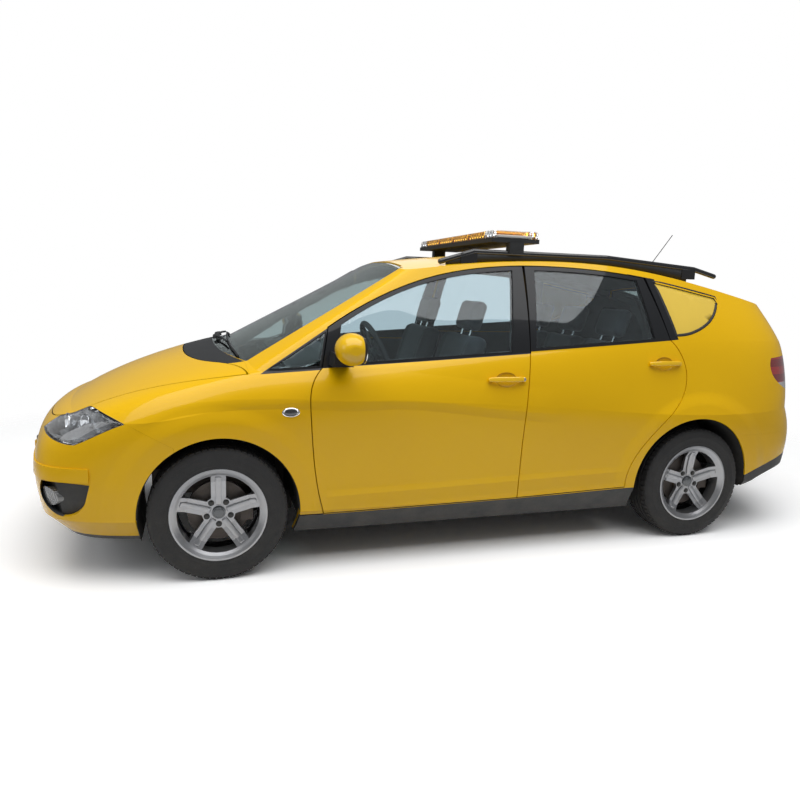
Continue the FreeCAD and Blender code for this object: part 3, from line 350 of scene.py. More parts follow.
def crease_height(shading, x, z):
    """How far the pressed lines and the flares stand out of the side, in metres."""
    first, last = CREASE[-1][0], CREASE[0][0]
    line = shading.add("ShaderNodeFloatCurve", {"Value": shading.ramp(x, first, last)})
    curve = line.mapping.curves[0]
    spots = [((px - first) / (last - first), pz) for px, pz in reversed(CREASE)]
    curve.points[0].location = spots[0]
    curve.points[1].location = spots[-1]
    for spot in spots[1:-1]:
        curve.points.new(*spot)
    line.mapping.update()
    shoulder = ridge(shading, shading.minus(z, line.outputs[0]), CREASE_REACH)
    shoulder = shading.times(shoulder, shading.math("MULTIPLY_ADD", shoulder, -0.5, 1.5))
    ends = shading.times(shading.ramp(x, first, first + CREASE_FADES[0]),
                         shading.ramp(x, last, last - CREASE_FADES[1]))
    shoulder = shading.times(shading.times(shoulder, ends), CREASE_HEIGHT)
    low_line = shading.math("MULTIPLY_ADD", x, SILL_LINE[1], SILL_LINE[0])
    sill = ridge(shading, shading.minus(z, low_line), SILL_CREASE_REACH)
    ends = shading.times(*(shading.ramp(x, *end) for end in SILL_CREASE_ENDS))
    height = shading.math(
        "MULTIPLY_ADD", shading.times(sill, ends), SILL_CREASE_HEIGHT, shoulder)
    for axle, inner, outer in FLARES:
        reach = shading.math("SQRT", shading.squares(
            shading.minus(x, axle), shading.minus(z, HUB_HEIGHT)))
        flare = shading.add("ShaderNodeMapRange", {
            "Value": reach, "From Min": outer, "From Max": inner}, interpolation_type="SMOOTHSTEP")
        height = shading.math("MULTIPLY_ADD", flare.outputs[0], FLARE_HEIGHT, height)
    return height


def make_paint_areas():
    """Where the sheet metal is painted, where it is trim, the forms pressed into it, and the
    painted shade in the handle cups.
    """
    shading, entry, leave = new_group("paint_areas", [("Frames", "f")], [
        ("Inner", "f"), ("Black", "f"), ("Cup", "f"), ("Crease", "f")])
    x, y, z = shading.parts(shading.place())
    normal = shading.add("ShaderNodeTexCoord").outputs["Normal"]
    outward = shading.add("ShaderNodeCombineXYZ", {
        0: shading.times(x, 0.2), 1: y, 2: shading.minus(z, 0.8)}).outputs[0]
    outward = shading.add("ShaderNodeVectorMath", {0: outward}, operation="NORMALIZE").outputs[0]
    facing = shading.add("ShaderNodeVectorMath", {0: outward, 1: normal}, operation="DOT_PRODUCT")
    inner = shading.ramp(facing.outputs["Value"], *INNER_FACING)
    frames = shading.times(side_mask(shading, x, z, DOOR_FRAMES), entry["Frames"])
    pillars = shading.times(side_mask(shading, x, z, PILLARS),
                            shading.minus(1.0, entry["Frames"]))
    # The cups behind the handles: one mask that dents the paint and carries the painted shade in
    # the cups
    cups = []
    for _, middle_x, middle_z in HANDLES:
        across = shading.math("MULTIPLY_ADD", x, 1 / CUP_HALF[0], -middle_x / CUP_HALF[0])
        up = shading.math("MULTIPLY_ADD", z, 1 / CUP_HALF[1], -middle_z / CUP_HALF[1])
        cups.append(shading.minus(1.0, shading.squares(across, up), clamp=True))
    shading.feed(leave["Inner"], inner)
    shading.feed(leave["Black"], shading.most(frames, pillars))
    shading.feed(leave["Cup"], shading.times(shading.most(*cups), entry["Frames"]))
    shading.feed(leave["Crease"], shading.times(
        crease_height(shading, x, z), shading.minus(1.0, inner)))
    return shading.tree


# Finishes

YELLOW = (0.84, 0.50, 0.002)
FRAME_BLACK = (0.016, 0.017, 0.019)
DOOR_TRIM_GREY = (0.075, 0.078, 0.082)
PAINT_DUST_REACH = 0.50
TRIM_DUST_REACH = 0.75
CLOTH_THREADS = 2200.0
FOG_RIBS = 700.0
TAIL_RIBS = 900.0
TAIL_BANDS = 75.0
# The tail lens is clear below this height, with a soft edge
TAIL_TIP = (0.876, 0.872)
# The mirror caps are black inside this half width and behind this x
MIRROR_FOOT = 0.922
MIRROR_RIM = 0.7590


def material(name, color, roughness, metallic=0.0, **sockets):
    made = bpy.data.materials.new(name)
    made.use_nodes = True
    shader = made.node_tree.nodes["Principled BSDF"]
    shader.inputs["Base Color"].default_value = (*color, 1)
    shader.inputs["Roughness"].default_value = roughness
    shader.inputs["Metallic"].default_value = metallic
    for key, value in sockets.items():
        shader.inputs[key.replace("_", " ").title().replace("Ior", "IOR")].default_value = value
    return made, Shading(made.node_tree), shader


def wire(shading, value, shader, socket):
    shading.tree.links.new(value, shader.inputs[socket])


def shade(color, share):
    return tuple(min(1, c * share) for c in color)


def paint_material(name, frames):
    """Yellow coachwork outside with painted shade in the handle cups, trim inside, black frames,
    dust low down.
    """
    made, shading, shader = material(
        name, YELLOW, 0.3, coat_roughness=0.03, specular_ior_level=0.12)
    areas = shading.group(PAINT_AREAS, frames=frames)
    place = shading.place()
    deep = tuple(c * k for c, k in zip(YELLOW, (0.90, 0.84, 0.8)))
    paint = shading.blend(shading.noise(place, 1.3, 3.0), deep, YELLOW)
    dusty = shading.group(ROAD_DUST, color=paint, amount=0.05, reach=PAINT_DUST_REACH)
    # Painted shade in the handle cups: the paint darkens toward each cup's middle
    cup_shade = shading.times(
        shading.math("SMOOTH_MIN", areas["Cup"], 0.3, 0.2), 1.1, clamp=True)
    shaded = shading.blend(cup_shade, dusty["Color"], shade(YELLOW, 0.62))
    black = shading.blend(areas["Black"], shaded, FRAME_BLACK)
    wire(shading, shading.blend(areas["Inner"], black, DOOR_TRIM_GREY), shader, "Base Color")
    rough = shading.ramp(dusty["Share"], 0.0, 1.0, 0.26, 0.75)
    rough = shading.most(rough, shading.times(areas["Inner"], 0.7))
    wire(shading, rough, shader, "Roughness")
    plain = shading.most(areas["Inner"], dusty["Share"])
    coat = shading.times(shading.minus(1.0, plain, clamp=True), 0.34)
    wire(shading, coat, shader, "Coat Weight")
    dish = shading.times(shading.math("SQRT", areas["Cup"]), -1.0)
    cup_bump = shading.bump(dish, 0.016)
    crease_bump = shading.bump(areas["Crease"], 1.0, Normal=cup_bump)
    peel = shading.noise(place, 420.0, 1.0)
    wire(shading, shading.bump(peel, 0.00002, 0.6, Normal=crease_bump), shader, "Normal")
    return made


def grained(name, color, roughness, scale, depth, vary=0.3, metallic=0.0, dust=0.0, **sockets):
    """A plain finish with its own grain, a varied tone and road dust."""
    made, shading, shader = material(name, color, roughness, metallic, **sockets)
    grain = shading.group(GRAIN, scale=scale, depth=depth)
    tone = shading.noise(shading.place(), scale / 40, 4.0)
    varied = shading.blend(tone, shade(color, 1 - vary), shade(color, 1 + vary))
    if dust:
        dusty = shading.group(ROAD_DUST, color=varied, amount=dust, reach=TRIM_DUST_REACH)
        varied = dusty["Color"]
    wire(shading, varied, shader, "Base Color")
    rough = shading.ramp(grain["Mask"], 0.3, 0.7, roughness * 0.88, min(1, roughness * 1.12))
    wire(shading, rough, shader, "Roughness")
    wire(shading, grain["Normal"], shader, "Normal")
    return made


def clear_glass(name, color, through, grime=0.05):
    """Glass that lets light into the cabin: its shadow is a tint, its face reflects."""
    made, shading, shader = material(name, color, 0.0, transmission_weight=1.0, ior=1.45)
    smear = shading.ramp(shading.noise(shading.place(), 5.0, 6.0, 0.6), 0.4, 0.8, 0.0, grime)
    wire(shading, smear, shader, "Roughness")
    clear = shading.add("ShaderNodeBsdfTransparent", {"Color": (*through, 1)})
    path = shading.add("ShaderNodeLightPath").outputs
    passing = shading.most(path["Is Shadow Ray"], path["Is Diffuse Ray"])
    mix = shading.add("ShaderNodeMixShader", {
        0: passing, 1: shader.outputs[0], 2: clear.outputs[0]})
    output = next(n for n in shading.tree.nodes if n.type == "OUTPUT_MATERIAL")
    shading.feed(output.inputs["Surface"], mix.outputs[0])
    return made


def cloth_material(name, color, thread):
    made, shading, shader = material(name, color, 0.85, sheen_weight=0.4)
    weave = shading.group(WEAVE, color=(*color, 1), thread=(*thread, 1), scale=CLOTH_THREADS)
    wire(shading, weave["Color"], shader, "Base Color")
    wire(shading, weave["Normal"], shader, "Normal")
    return made


def fog_lens_material():
    """Dark glass with upright ribs, painted lighter on each rib and darker between them as
    highlight and shade.
    """
    made, shading, shader = material("fog_lens", (0.10, 0.105, 0.11), 0.08, coat_weight=1.0)
    y = shading.parts(shading.place())[1]
    ribs = shading.math("SINE", shading.times(y, FOG_RIBS))
    # Painted highlight and shade: lighter colour on each rib's crest, darker in the troughs
    tone = shading.blend(shading.ramp(ribs, -1, 1), (0.05, 0.052, 0.055), (0.16, 0.165, 0.17))
    wire(shading, tone, shader, "Base Color")
    wire(shading, shading.bump(ribs, 0.0008, 0.8), shader, "Normal")
    return made


def tail_lens_material():
    """Red moulded plastic with fine ribs and a clear lower tip."""
    made, shading, shader = material(
        "tail_lens", (0.4, 0.01, 0.008), 0.12, coat_weight=1.0, coat_roughness=0.02)
    z = shading.parts(shading.place())[2]
    ribs = shading.math("SINE", shading.times(z, TAIL_RIBS))
    band = shading.ramp(shading.math("SINE", shading.times(z, TAIL_BANDS)), -0.1, 0.1)
    red = shading.blend(band, (0.20, 0.005, 0.005), (0.36, 0.010, 0.008))
    clear = shading.ramp(z, *TAIL_TIP)
    wire(shading, shading.blend(clear, red, (0.50, 0.47, 0.45)), shader, "Base Color")
    wire(shading, shading.bump(ribs, 0.0005, 0.5), shader, "Normal")
    return made


def mirror_paint_material():
    """Mirror caps: yellow outside, black round the glass and at the foot."""
    made, shading, shader = material(
        "mirror_paint", YELLOW, 0.26, coat_roughness=0.03, specular_ior_level=0.2)
    x, y, _ = shading.parts(shading.place())
    foot = sharp(shading, shading.minus(MIRROR_FOOT, shading.math("ABSOLUTE", y)))
    rim = sharp(shading, shading.minus(MIRROR_RIM, x))
    dark = shading.most(foot, rim)
    tone = shading.blend(shading.noise(shading.place(), 4.0), shade(YELLOW, 0.9), YELLOW)
    wire(shading, shading.blend(dark, tone, (0.018, 0.018, 0.019)), shader, "Base Color")
    wire(shading, shading.ramp(dark, 0, 1, 0.26, 0.5), shader, "Roughness")
    wire(shading, shading.ramp(dark, 0, 1, 0.6, 0.0), shader, "Coat Weight")
    return made


make_camera()
make_world_and_floor()
for panel in PANELS:
    make_panel(*panel)

GRAIN = make_grain()
ROAD_DUST = make_road_dust()
WEAVE = make_weave()
PAINT_AREAS = make_paint_areas()

door_paint = paint_material("door_paint", 1.0)
body_paint = paint_material("body_paint", 0.0)
# Name, colour, roughness, grain scale, grain depth, then how much the tone varies
black_plastic = grained(
    "black_plastic", (0.015, 0.016, 0.017), 0.55, 900, 0.00008, dust=0.16)
gloss_black = grained(
    "gloss_black", (0.012, 0.012, 0.013), 0.18, 300, 0.00001, coat_weight=0.5)
seal_rubber = grained("seal_rubber", (0.014, 0.014, 0.015), 0.6, 700, 0.00006)
tyre_rubber = grained("tyre_rubber", (0.013, 0.013, 0.014), 0.75, 500, 0.0001, dust=0.07)
alloy_paint = grained("alloy_paint", (0.30, 0.305, 0.32), 0.34, 1500, 0.000012, 0.08,
                      metallic=0.85, dust=0.25, coat_weight=0.3)
cast_iron = grained("cast_iron", (0.11, 0.095, 0.085), 0.65, 260, 0.0003, 0.5, metallic=0.6)
bare_steel = grained("bare_steel", (0.42, 0.41, 0.40), 0.32, 500, 0.00003, 0.2, metallic=1.0)
chassis_coat = grained("chassis_coat", (0.022, 0.022, 0.023), 0.85, 300, 0.0002, 0.4,
                       dust=0.15, specular_ior_level=0.15)
cabin_plastic = grained("cabin_plastic", (0.045, 0.047, 0.05), 0.62, 1100, 0.0001)
chrome = grained("chrome", (0.78, 0.79, 0.80), 0.08, 60, 0.00002, 0.04, metallic=1.0)
bright_lining = grained(
    "bright_lining", (0.80, 0.82, 0.85), 0.12, 90, 0.0004, 0.1, metallic=1.0)
dark_lining = grained(
    "dark_lining", (0.10, 0.105, 0.11), 0.22, 200, 0.00005, 0.3, metallic=0.8)
mirror_glass = grained(
    "mirror_glass", (0.85, 0.87, 0.88), 0.03, 40, 0.000005, 0.02, metallic=1.0)
film = grained("film", (0.80, 0.55, 0.06), 0.35, 300, 0.00002, 0.06, coat_weight=1.0)
plate_white = grained(
    "plate_white", (0.72, 0.73, 0.72), 0.35, 700, 0.00002, 0.04, coat_weight=0.3)
board_white = grained("board_white", (0.62, 0.60, 0.56), 0.5, 400, 0.0001, 0.1)
handle_paint = grained("handle_paint", YELLOW, 0.26, 420, 0.00001, 0.05, coat_weight=0.6)
# Name, colour, tint of what passes, grime
window_glass = clear_glass("window_glass", (0.62, 0.72, 0.76), (0.55, 0.62, 0.65))
screen_glass = clear_glass("screen_glass", (0.42, 0.50, 0.48), (0.45, 0.52, 0.51))
lamp_glass = clear_glass("lamp_glass", (0.96, 0.97, 0.98), (0.9, 0.9, 0.9), 0.02)
amber_lens = clear_glass("amber_lens", (1.0, 0.52, 0.06), (1.0, 0.6, 0.15), 0.12)
red_lens = clear_glass("red_lens", (0.85, 0.03, 0.02), (0.9, 0.05, 0.03), 0.1)
seat_cloth = cloth_material("seat_cloth", (0.075, 0.08, 0.088), (0.16, 0.165, 0.175))
seat_middle = cloth_material("seat_middle", (0.12, 0.125, 0.135), (0.24, 0.245, 0.255))
mirror_paint = mirror_paint_material()

# The CAD nodes that stay: a finish for each slot, and for nodes that differ from their slot
SLOT_FINISHES = {
    "yellow_paint": body_paint, "black_plastic": black_plastic, "gloss_black": gloss_black,
    "window_glass": window_glass, "lamp_clear": lamp_glass, "lamp_red": red_lens,
    "lamp_amber": amber_lens, "alloy": alloy_paint, "tyre_rubber": tyre_rubber,
    "steel": bare_steel, "iron": cast_iron, "body_steel": chassis_coat,
    "seat_cloth": seat_cloth, "cabin_plastic": cabin_plastic,
}
NODE_FINISHES = {
    "windscreen": screen_glass, "rear_glass": screen_glass, "front_wheel_liners": chassis_coat,
    "fog_lamps": fog_lens_material(), "exhaust": cast_iron, "tail_lamps": tail_lens_material(),
    "mirror_left": mirror_paint, "mirror_right": mirror_paint,
}
slots = {row["node"]: row["material_slot"] for row in frame["record"]["subparts"]}
for name, item in nodes.items():
    finish = NODE_FINISHES.get(name, SLOT_FINISHES[slots[name]])
    if "door" in name and "glass" not in name:
        finish = door_paint
    item.data.materials.clear()
    item.data.materials.append(finish)


# Building pieces

SHARP_ANGLE = math.radians(38)
MERGE = 0.00001


def finish_piece(item, body):
    """The item rides on a body."""
    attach(item, body)
    return item


def solid(name, bm, finish, body="body", smooth=True):
    """Turns a bmesh into a piece, its place in its mesh."""
    mesh = bpy.data.meshes.new(name)
    bmesh.ops.remove_doubles(bm, verts=bm.verts, dist=MERGE)
    bmesh.ops.recalc_face_normals(bm, faces=bm.faces)
    bm.to_mesh(mesh)
    bm.free()
    mesh.materials.append(finish)
    if smooth:
        mesh.shade_smooth()
        mesh.set_sharp_from_angle(angle=SHARP_ANGLE)
    return finish_piece(put(name, mesh), body)


def tube(name, points, radius, finish, body="body", closed=False):
    curve = bpy.data.curves.new(name, "CURVE")
    curve.dimensions = "3D"
    curve.bevel_depth = radius
    curve.bevel_resolution = 3
    curve.use_fill_caps = not closed
    line = curve.splines.new("POLY")
    line.points.add(len(points) - 1)
    for spot, point in zip(line.points, points):
        spot.co = (*point, 1)
    line.use_cyclic_u = closed
    line.use_smooth = True
    curve.materials.append(finish)
    finish_piece(put(name, curve), body)


def edges_of(verts):
    return list({e for v in verts for e in v.link_edges})


def round_edges(bm, edges, offset, segments=2, verts=(), clamp=True):
    """Bevels edges, and gives the corners of the bevels and those of verts that are left."""
    made = bmesh.ops.bevel(bm, geom=edges, offset=offset, offset_type="OFFSET", segments=segments,
                           profile=0.5, affect="EDGES", material=-1, clamp_overlap=clamp)
    return list({v for f in made["faces"] for v in f.verts} | {v for v in verts if v.is_valid})


def axis_matrix(middle, axis):
    """Takes the Z axis at the origin to an axis through a point."""
    turn = Vector(axis).to_track_quat("Z", "Y").to_matrix().to_4x4()
    return Matrix.Translation(Vector(middle)) @ turn


def add_box(bm, middle, size, bevel=0.0, segments=2):
    verts = bmesh.ops.create_cube(bm, size=1.0)["verts"]
    bmesh.ops.scale(bm, vec=Vector(size), verts=verts)
    if bevel:
        verts = round_edges(bm, edges_of(verts), bevel, segments, verts)
    bmesh.ops.translate(bm, vec=Vector(middle), verts=verts)
    return verts


def add_disc(bm, middle, radius, depth, segments, top=None, bevel=0.0):
    """A disc on the Y axis; top is the radius of its outer face where that differs."""
    verts = bmesh.ops.create_cone(
        bm, cap_ends=True, segments=segments, radius1=radius,
        radius2=radius if top is None else top, depth=depth)["verts"]
    if bevel:
        edges = [e for e in edges_of(verts)
                 if abs(e.verts[0].co.z - e.verts[1].co.z) < 1e-6 and e.verts[0].co.z > 0]
        verts = round_edges(bm, edges, bevel, 2, verts)
    bmesh.ops.transform(bm, matrix=axis_matrix(middle, (0, 1, 0)), verts=verts)


def add_ring(bm, profile, steps):
    """Spins a closed profile of (radius, y) about the Y axis."""
    verts = [bm.verts.new((0, y, r)) for r, y in profile]
    edges = [bm.edges.new((a, b)) for a, b in zip(verts, verts[1:] + verts[:1])]
    bmesh.ops.spin(bm, geom=verts + edges, cent=(0, 0, 0), axis=(0, 1, 0), angle=math.tau,
                   steps=steps, use_merge=True, use_duplicate=False)


def add_plate(bm, corners, push):
    """A flat face on a few corners, pushed out into a solid."""
    face = bm.faces.new([bm.verts.new(c) for c in corners])
    made = bmesh.ops.extrude_face_region(bm, geom=[face], use_keep_orig=True)
    verts = [v for v in made["geom"] if isinstance(v, bmesh.types.BMVert)]
    bmesh.ops.translate(bm, vec=Vector(push), verts=verts)
    return verts + list(face.verts)


def lathe(bm, profile, middle, axis, steps, closed=False, stretch=(1, 1, 1)):
    """Spins a profile of (radius, height) about an axis."""
    before = set(bm.verts)
    verts = [bm.verts.new((r, 0, h)) for r, h in profile]
    pairs = list(zip(verts, verts[1:])) + ([(verts[-1], verts[0])] if closed else [])
    edges = [bm.edges.new(pair) for pair in pairs]
    bmesh.ops.spin(bm, geom=verts + edges, cent=(0, 0, 0), axis=(0, 0, 1), angle=math.tau,
                   steps=steps, use_merge=True, use_duplicate=False)
    made = [v for v in bm.verts if v not in before]
    bmesh.ops.scale(bm, vec=stretch, verts=made)
    bmesh.ops.transform(bm, matrix=axis_matrix(middle, axis), verts=made)


def both_sides(bm):
    """Everything once more on the other side of the car."""
    made = bmesh.ops.duplicate(bm, geom=list(bm.faces))
    verts = [v for v in made["geom"] if isinstance(v, bmesh.types.BMVert)]
    bmesh.ops.scale(bm, vec=(1, -1, 1), verts=verts)


def copy_faces(node, keep):
    """The faces of a CAD node that keep lets through."""
    bm = bmesh.new()
    bm.from_mesh(nodes[node].data)
    bmesh.ops.remove_doubles(bm, verts=bm.verts, dist=MERGE)
    bm.normal_update()
    bmesh.ops.delete(bm, geom=[f for f in bm.faces if not keep(f)], context="FACES")
    return bm


def thicken(item, thickness, offset):
    wall = item.modifiers.new("wall", "SOLIDIFY")
    wall.thickness = thickness
    wall.offset = offset


def hit(node, start, direction):
    """Where a straight line first meets a CAD node, with its normal, or None."""
    found, place, normal, _ = nodes[node].ray_cast(Vector(start), Vector(direction))
    return (place, normal) if found else (None, None)


def side_of(node, x, z, sign=1):
    return hit(node, (x, sign * 1.4, z), (0, -sign, 0))


def top_of(node, x, y):
    return hit(node, (x, y, 3), (0, 0, -1))


def back_of(node, y, z):
    return hit(node, (-3, y, z), (1, 0, 0))


# Wheels: tyre with tread, and the small parts on each rim

# Half of the tyre's section, as (radius, y), from the bead to the shoulder
TYRE_SIDE = [
    (0.2046, 0.0860), (0.2046, 0.0890), (0.2090, 0.0935), (0.2160, 0.0972), (0.2190, 0.0985),
    (0.2210, 0.0972), (0.2300, 0.0992), (0.2330, 0.1008), (0.2360, 0.1000), (0.2500, 0.1022),
    (0.2640, 0.1018), (0.2660, 0.1024), (0.2690, 0.1012), (0.2840, 0.0985), (0.2940, 0.0945),
    (0.3010, 0.0895), (0.3055, 0.0830),
]
TYRE_INNER = [(0.2000, -0.0860), (0.2000, 0.0860)]
TYRE_STEPS = 108
# The grooves' middles from the centre line, their width and the radii of floor and tread
TREAD_GROOVES = (0.0165, 0.0455)
GROOVE_WIDTH = 0.0085
GROOVE_FLOOR = 0.3068
TREAD_RADIUS = 0.3138
# Lugs on each shoulder: their number, size, place as (y, radius) and turns
LUG_COUNT = 66
LUG_SIZE = (0.0225, 0.0330, 0.0110)
LUG_PLACE = (0.0690, 0.3056)
LUG_TILT = math.radians(-9)
LUG_SKEW = math.radians(8)

SPOKES = 5
# The raised band on a spoke: its half width, and its outline as (y, radius)
BAND_HALF = 0.0125
BAND_OUTLINE = (
    (0.0495, 0.036), (0.0565, 0.040), (0.0570, 0.080), (0.0665, 0.148), (0.0790, 0.172),
    (0.0760, 0.178), (0.0590, 0.150), (0.0495, 0.080))
BOLT_CIRCLE = 0.056


def tyre(bm):
    inner_groove, outer_groove = TREAD_GROOVES
    half = GROOVE_WIDTH / 2
    tread = [
        (GROOVE_FLOOR, 0.0780), (GROOVE_FLOOR, outer_groove + GROOVE_WIDTH),
        (GROOVE_FLOOR, outer_groove - half), (TREAD_RADIUS - 0.0006, outer_groove - half - 0.0008),
        (TREAD_RADIUS, inner_groove + half + 0.0008), (GROOVE_FLOOR, inner_groove + half),
        (GROOVE_FLOOR, inner_groove - half), (TREAD_RADIUS, inner_groove - half - 0.0008)]
    left = TYRE_SIDE + tread
    add_ring(bm, left + [(r, -y) for r, y in reversed(left)] + TYRE_INNER, TYRE_STEPS)
    for _, sign in SIDES:
        lug = add_box(bm, (0, 0, 0), LUG_SIZE, 0.0012, 1)
        tilt = Matrix.Rotation(sign * LUG_TILT, 4, "X")
        skew = Matrix.Rotation(sign * LUG_SKEW, 4, "Z")
        place = Matrix.Translation((0, sign * LUG_PLACE[0], LUG_PLACE[1])) @ tilt @ skew
        bmesh.ops.transform(bm, matrix=place, verts=lug)
        faces = list({f for v in lug for f in v.link_faces})
        bmesh.ops.spin(bm, geom=faces, cent=(0, 0, 0), axis=(0, 1, 0),
                       angle=math.tau * (LUG_COUNT - 1) / LUG_COUNT, steps=LUG_COUNT - 1,
                       use_duplicate=True)


def spoke_bands(bm):
    """Raised bands on the spokes of a left wheel, its outer face towards +Y."""
    for step in range(SPOKES):
        corners = [(-BAND_HALF, y, radius) for y, radius in BAND_OUTLINE]
        verts = add_plate(bm, corners, (2 * BAND_HALF, 0, 0))
        verts = round_edges(bm, edges_of(verts), 0.0022, 2, verts)
        turn = Matrix.Rotation(math.tau * step / SPOKES, 4, "Y")
        bmesh.ops.transform(bm, matrix=turn, verts=verts)


def cap(bm):
    add_disc(bm, (0, 0.0525, 0), 0.0305, 0.007, 48, bevel=0.002)
    add_disc(bm, (0, 0.0565, 0), 0.0240, 0.003, 48, 0.0215, 0.001)


# Painted shade: each bolt sits on a flat black disc with a black head, standing in for the shade in
# its recessed hole
def bolts_and_hole_shade(bm):
    for step in range(SPOKES):
        angle = math.tau * (step + 0.5) / SPOKES
        x, z = BOLT_CIRCLE * math.sin(angle), BOLT_CIRCLE * math.cos(angle)
        add_disc(bm, (x, 0.0503, z), 0.0140, 0.0012, 28)
        add_disc(bm, (x, 0.0530, z), 0.0100, 0.006, 6, bevel=0.001)


WHEEL_PARTS = (
    (tyre, tyre_rubber, "tyre_rubber"), (spoke_bands, alloy_paint, "alloy"),
    (cap, dark_lining, "alloy"), (bolts_and_hole_shade, black_plastic, "black_plastic"),
)


def make_wheels():
    for end, x, half_track in AXLES:
        for side, sign in SIDES:
            place = f"{end}_{side}"
            turn = Matrix.Rotation(0 if sign > 0 else math.pi, 4, "Z")
            matrix = Matrix.Translation((x, sign * half_track, HUB_HEIGHT)) @ turn
            for shape, finish, slot in WHEEL_PARTS:
                part = shape.__name__
                bm = bmesh.new()
                shape(bm)
                bmesh.ops.transform(bm, matrix=matrix, verts=bm.verts)
                item = solid(f"{place}_{part}_piece", bm, finish, place + "_wheel")
                if shape is tyre:
                    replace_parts(item, place + "_tyre")


# Splash shields: end, middle x, radius, inner and outer y, first and last angle
SHIELDS = (
    ("front", FRONT_AXLE - 0.008, 0.3575, 0.420, 0.835, -17, 62),
    ("rear", REAR_AXLE + 0.017, 0.3755, 0.500, 0.846, 187, -4),
)
SHIELD_STEPS = 40
SHIELD_WALL = 0.002
# The panels round the rear wheel, whose inner side the rear shield meets
ARCH_PANELS = ("body_sides", "rear_bumper", "rear_trim", "sill_trims", "rear_door_left")


def fit_to_arch(bm, x):
    """Brings the outer edge of a rear shield to just inside the panels round the wheel."""
    for vert in bm.verts:
        if vert.co.y > 0.8:
            away = vert.co - Vector((x, vert.co.y, HUB_HEIGHT))
            spot = vert.co + away.normalized() * 0.008
            found = [side_of(node, spot.x, spot.z)[0] for node in ARCH_PANELS]
            depths = [place.y for place in found if place is not None]
            vert.co.y = (max(depths) if depths else 0.82) - 0.006


def make_splash_shields():
    """Black sheets that close the wheel housings toward the bumpers."""
    for end, x, radius, inner, outer, first, last in SHIELDS:
        bm = bmesh.new()
        first, last = math.radians(first), math.radians(last)
        spot = (x + radius * math.cos(first), HUB_HEIGHT + radius * math.sin(first))
        verts = [bm.verts.new((spot[0], y, spot[1])) for y in (inner, outer)]
        edge = bm.edges.new(verts)
        bmesh.ops.spin(bm, geom=verts + [edge], cent=(x, 0, HUB_HEIGHT), axis=(0, 1, 0),
                       angle=first - last, steps=SHIELD_STEPS, use_duplicate=False)
        if end == "rear":
            fit_to_arch(bm, x)
        both_sides(bm)
        shield = solid(f"{end}_splash_shields", bm, chassis_coat)
        thicken(shield, SHIELD_WALL, 0)


# Glass: panes that stand for the fixed side glass, and the rubber round every pane

def is_vent(face):
    return face.calc_center_median().x > 0


def is_quarter(face):
    return not is_vent(face)


def seal(name, node, facing, width, body, keep=lambda face: True, proud=0.0015):
    """Rubber along the edge faces of a pane, a little proud of its outer face."""
    facing = Vector(facing).normalized()
    bm = copy_faces(node, lambda face: abs(face.normal.dot(facing)) < 0.4 and keep(face))
    for vert in bm.verts:
        far_side = abs(facing.y) > 0.5 and vert.co.y < 0
        vert.co += facing * (-proud if far_side else proud)
    item = solid(name, bm, seal_rubber, body, smooth=False)
    thicken(item, width, 0)


def make_glass():
    for name, keep, finish in (
            ("vent_panes", is_vent, window_glass), ("quarter_panes", is_quarter, film)):
        bm = copy_faces("fixed_side_glass", keep)
        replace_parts(solid(name, bm, finish, "body"), "fixed_side_glass")
    for name, keep, width, proud in (
            ("quarter_seals", is_quarter, 0.030, 0.0025), ("vent_seals", is_vent, 0.008, 0.002)):
        seal(name, "fixed_side_glass", (0, 1, 0), width, "body", keep, proud)
    seal("windscreen_seal", "windscreen", (0.5, 0, 0.86), 0.009, "body")
    seal("rear_glass_seal", "rear_glass", (-0.8, 0, 0.58), 0.009, "tailgate")
    for side, sign in SIDES:
        for end in ("front", "rear"):
            seal(f"{end}_glass_seal_{side}", f"{end}_door_glass_{side}", (0, sign, 0), 0.005,
                 f"{end}_door_{side}", proud=0.001 * sign)


# Lamps

# Bowls in the headlamp: middle, axis, radius, depth
HEADLAMP_BOWLS = (
    ((2.012, 0.640, 0.714), (0.93, 0.36, 0.06), 0.040, 0.034),
    ((1.925, 0.728, 0.727), (0.80, 0.60, 0.06), 0.034, 0.030),
)
BOWL_WALL = 0.004
# The small bowl nearest to the middle of the car: middle and axis
INNER_BOWL = ((2.070, 0.530, 0.700), (0.97, 0.2, 0))
# Faces of the headlamps that look this way are lens, and the rest is housing
HEADLAMP_FACING = (0.75, 0.66, 0.25)
REPEATER_PLACE = (1.050, 0.783)
REPEATER_STRETCH = (1.9, 1.0, 1.0)

LIGHT_BAR_X = -0.15
LIGHT_BAR_LENGTH = 1.16
# Rows of cells face forward and back, with none where two modules meet
CELL_PITCH = 0.0345
CELL_HEIGHT = 1.641
CELL_REACH = 0.105
CELL_MARGIN = 0.020
MODULE_JOINTS = (0.0, 0.2405, 0.481)
# Boards under the lenses: middles in y, height and size
BOARDS = (
    ((-0.361, -0.1203, 0.1203, 0.361), 1.636, (0.19, 0.205, 0.022)),
    ((-0.539, 0.539), 1.632, (0.19, 0.085, 0.014)),
)


def headlamp_outer(face):
    ahead, aside, up = HEADLAMP_FACING
    side = 1 if face.calc_center_median().y > 0 else -1
    return face.normal.dot(Vector((ahead, aside * side, up))) > 0.25


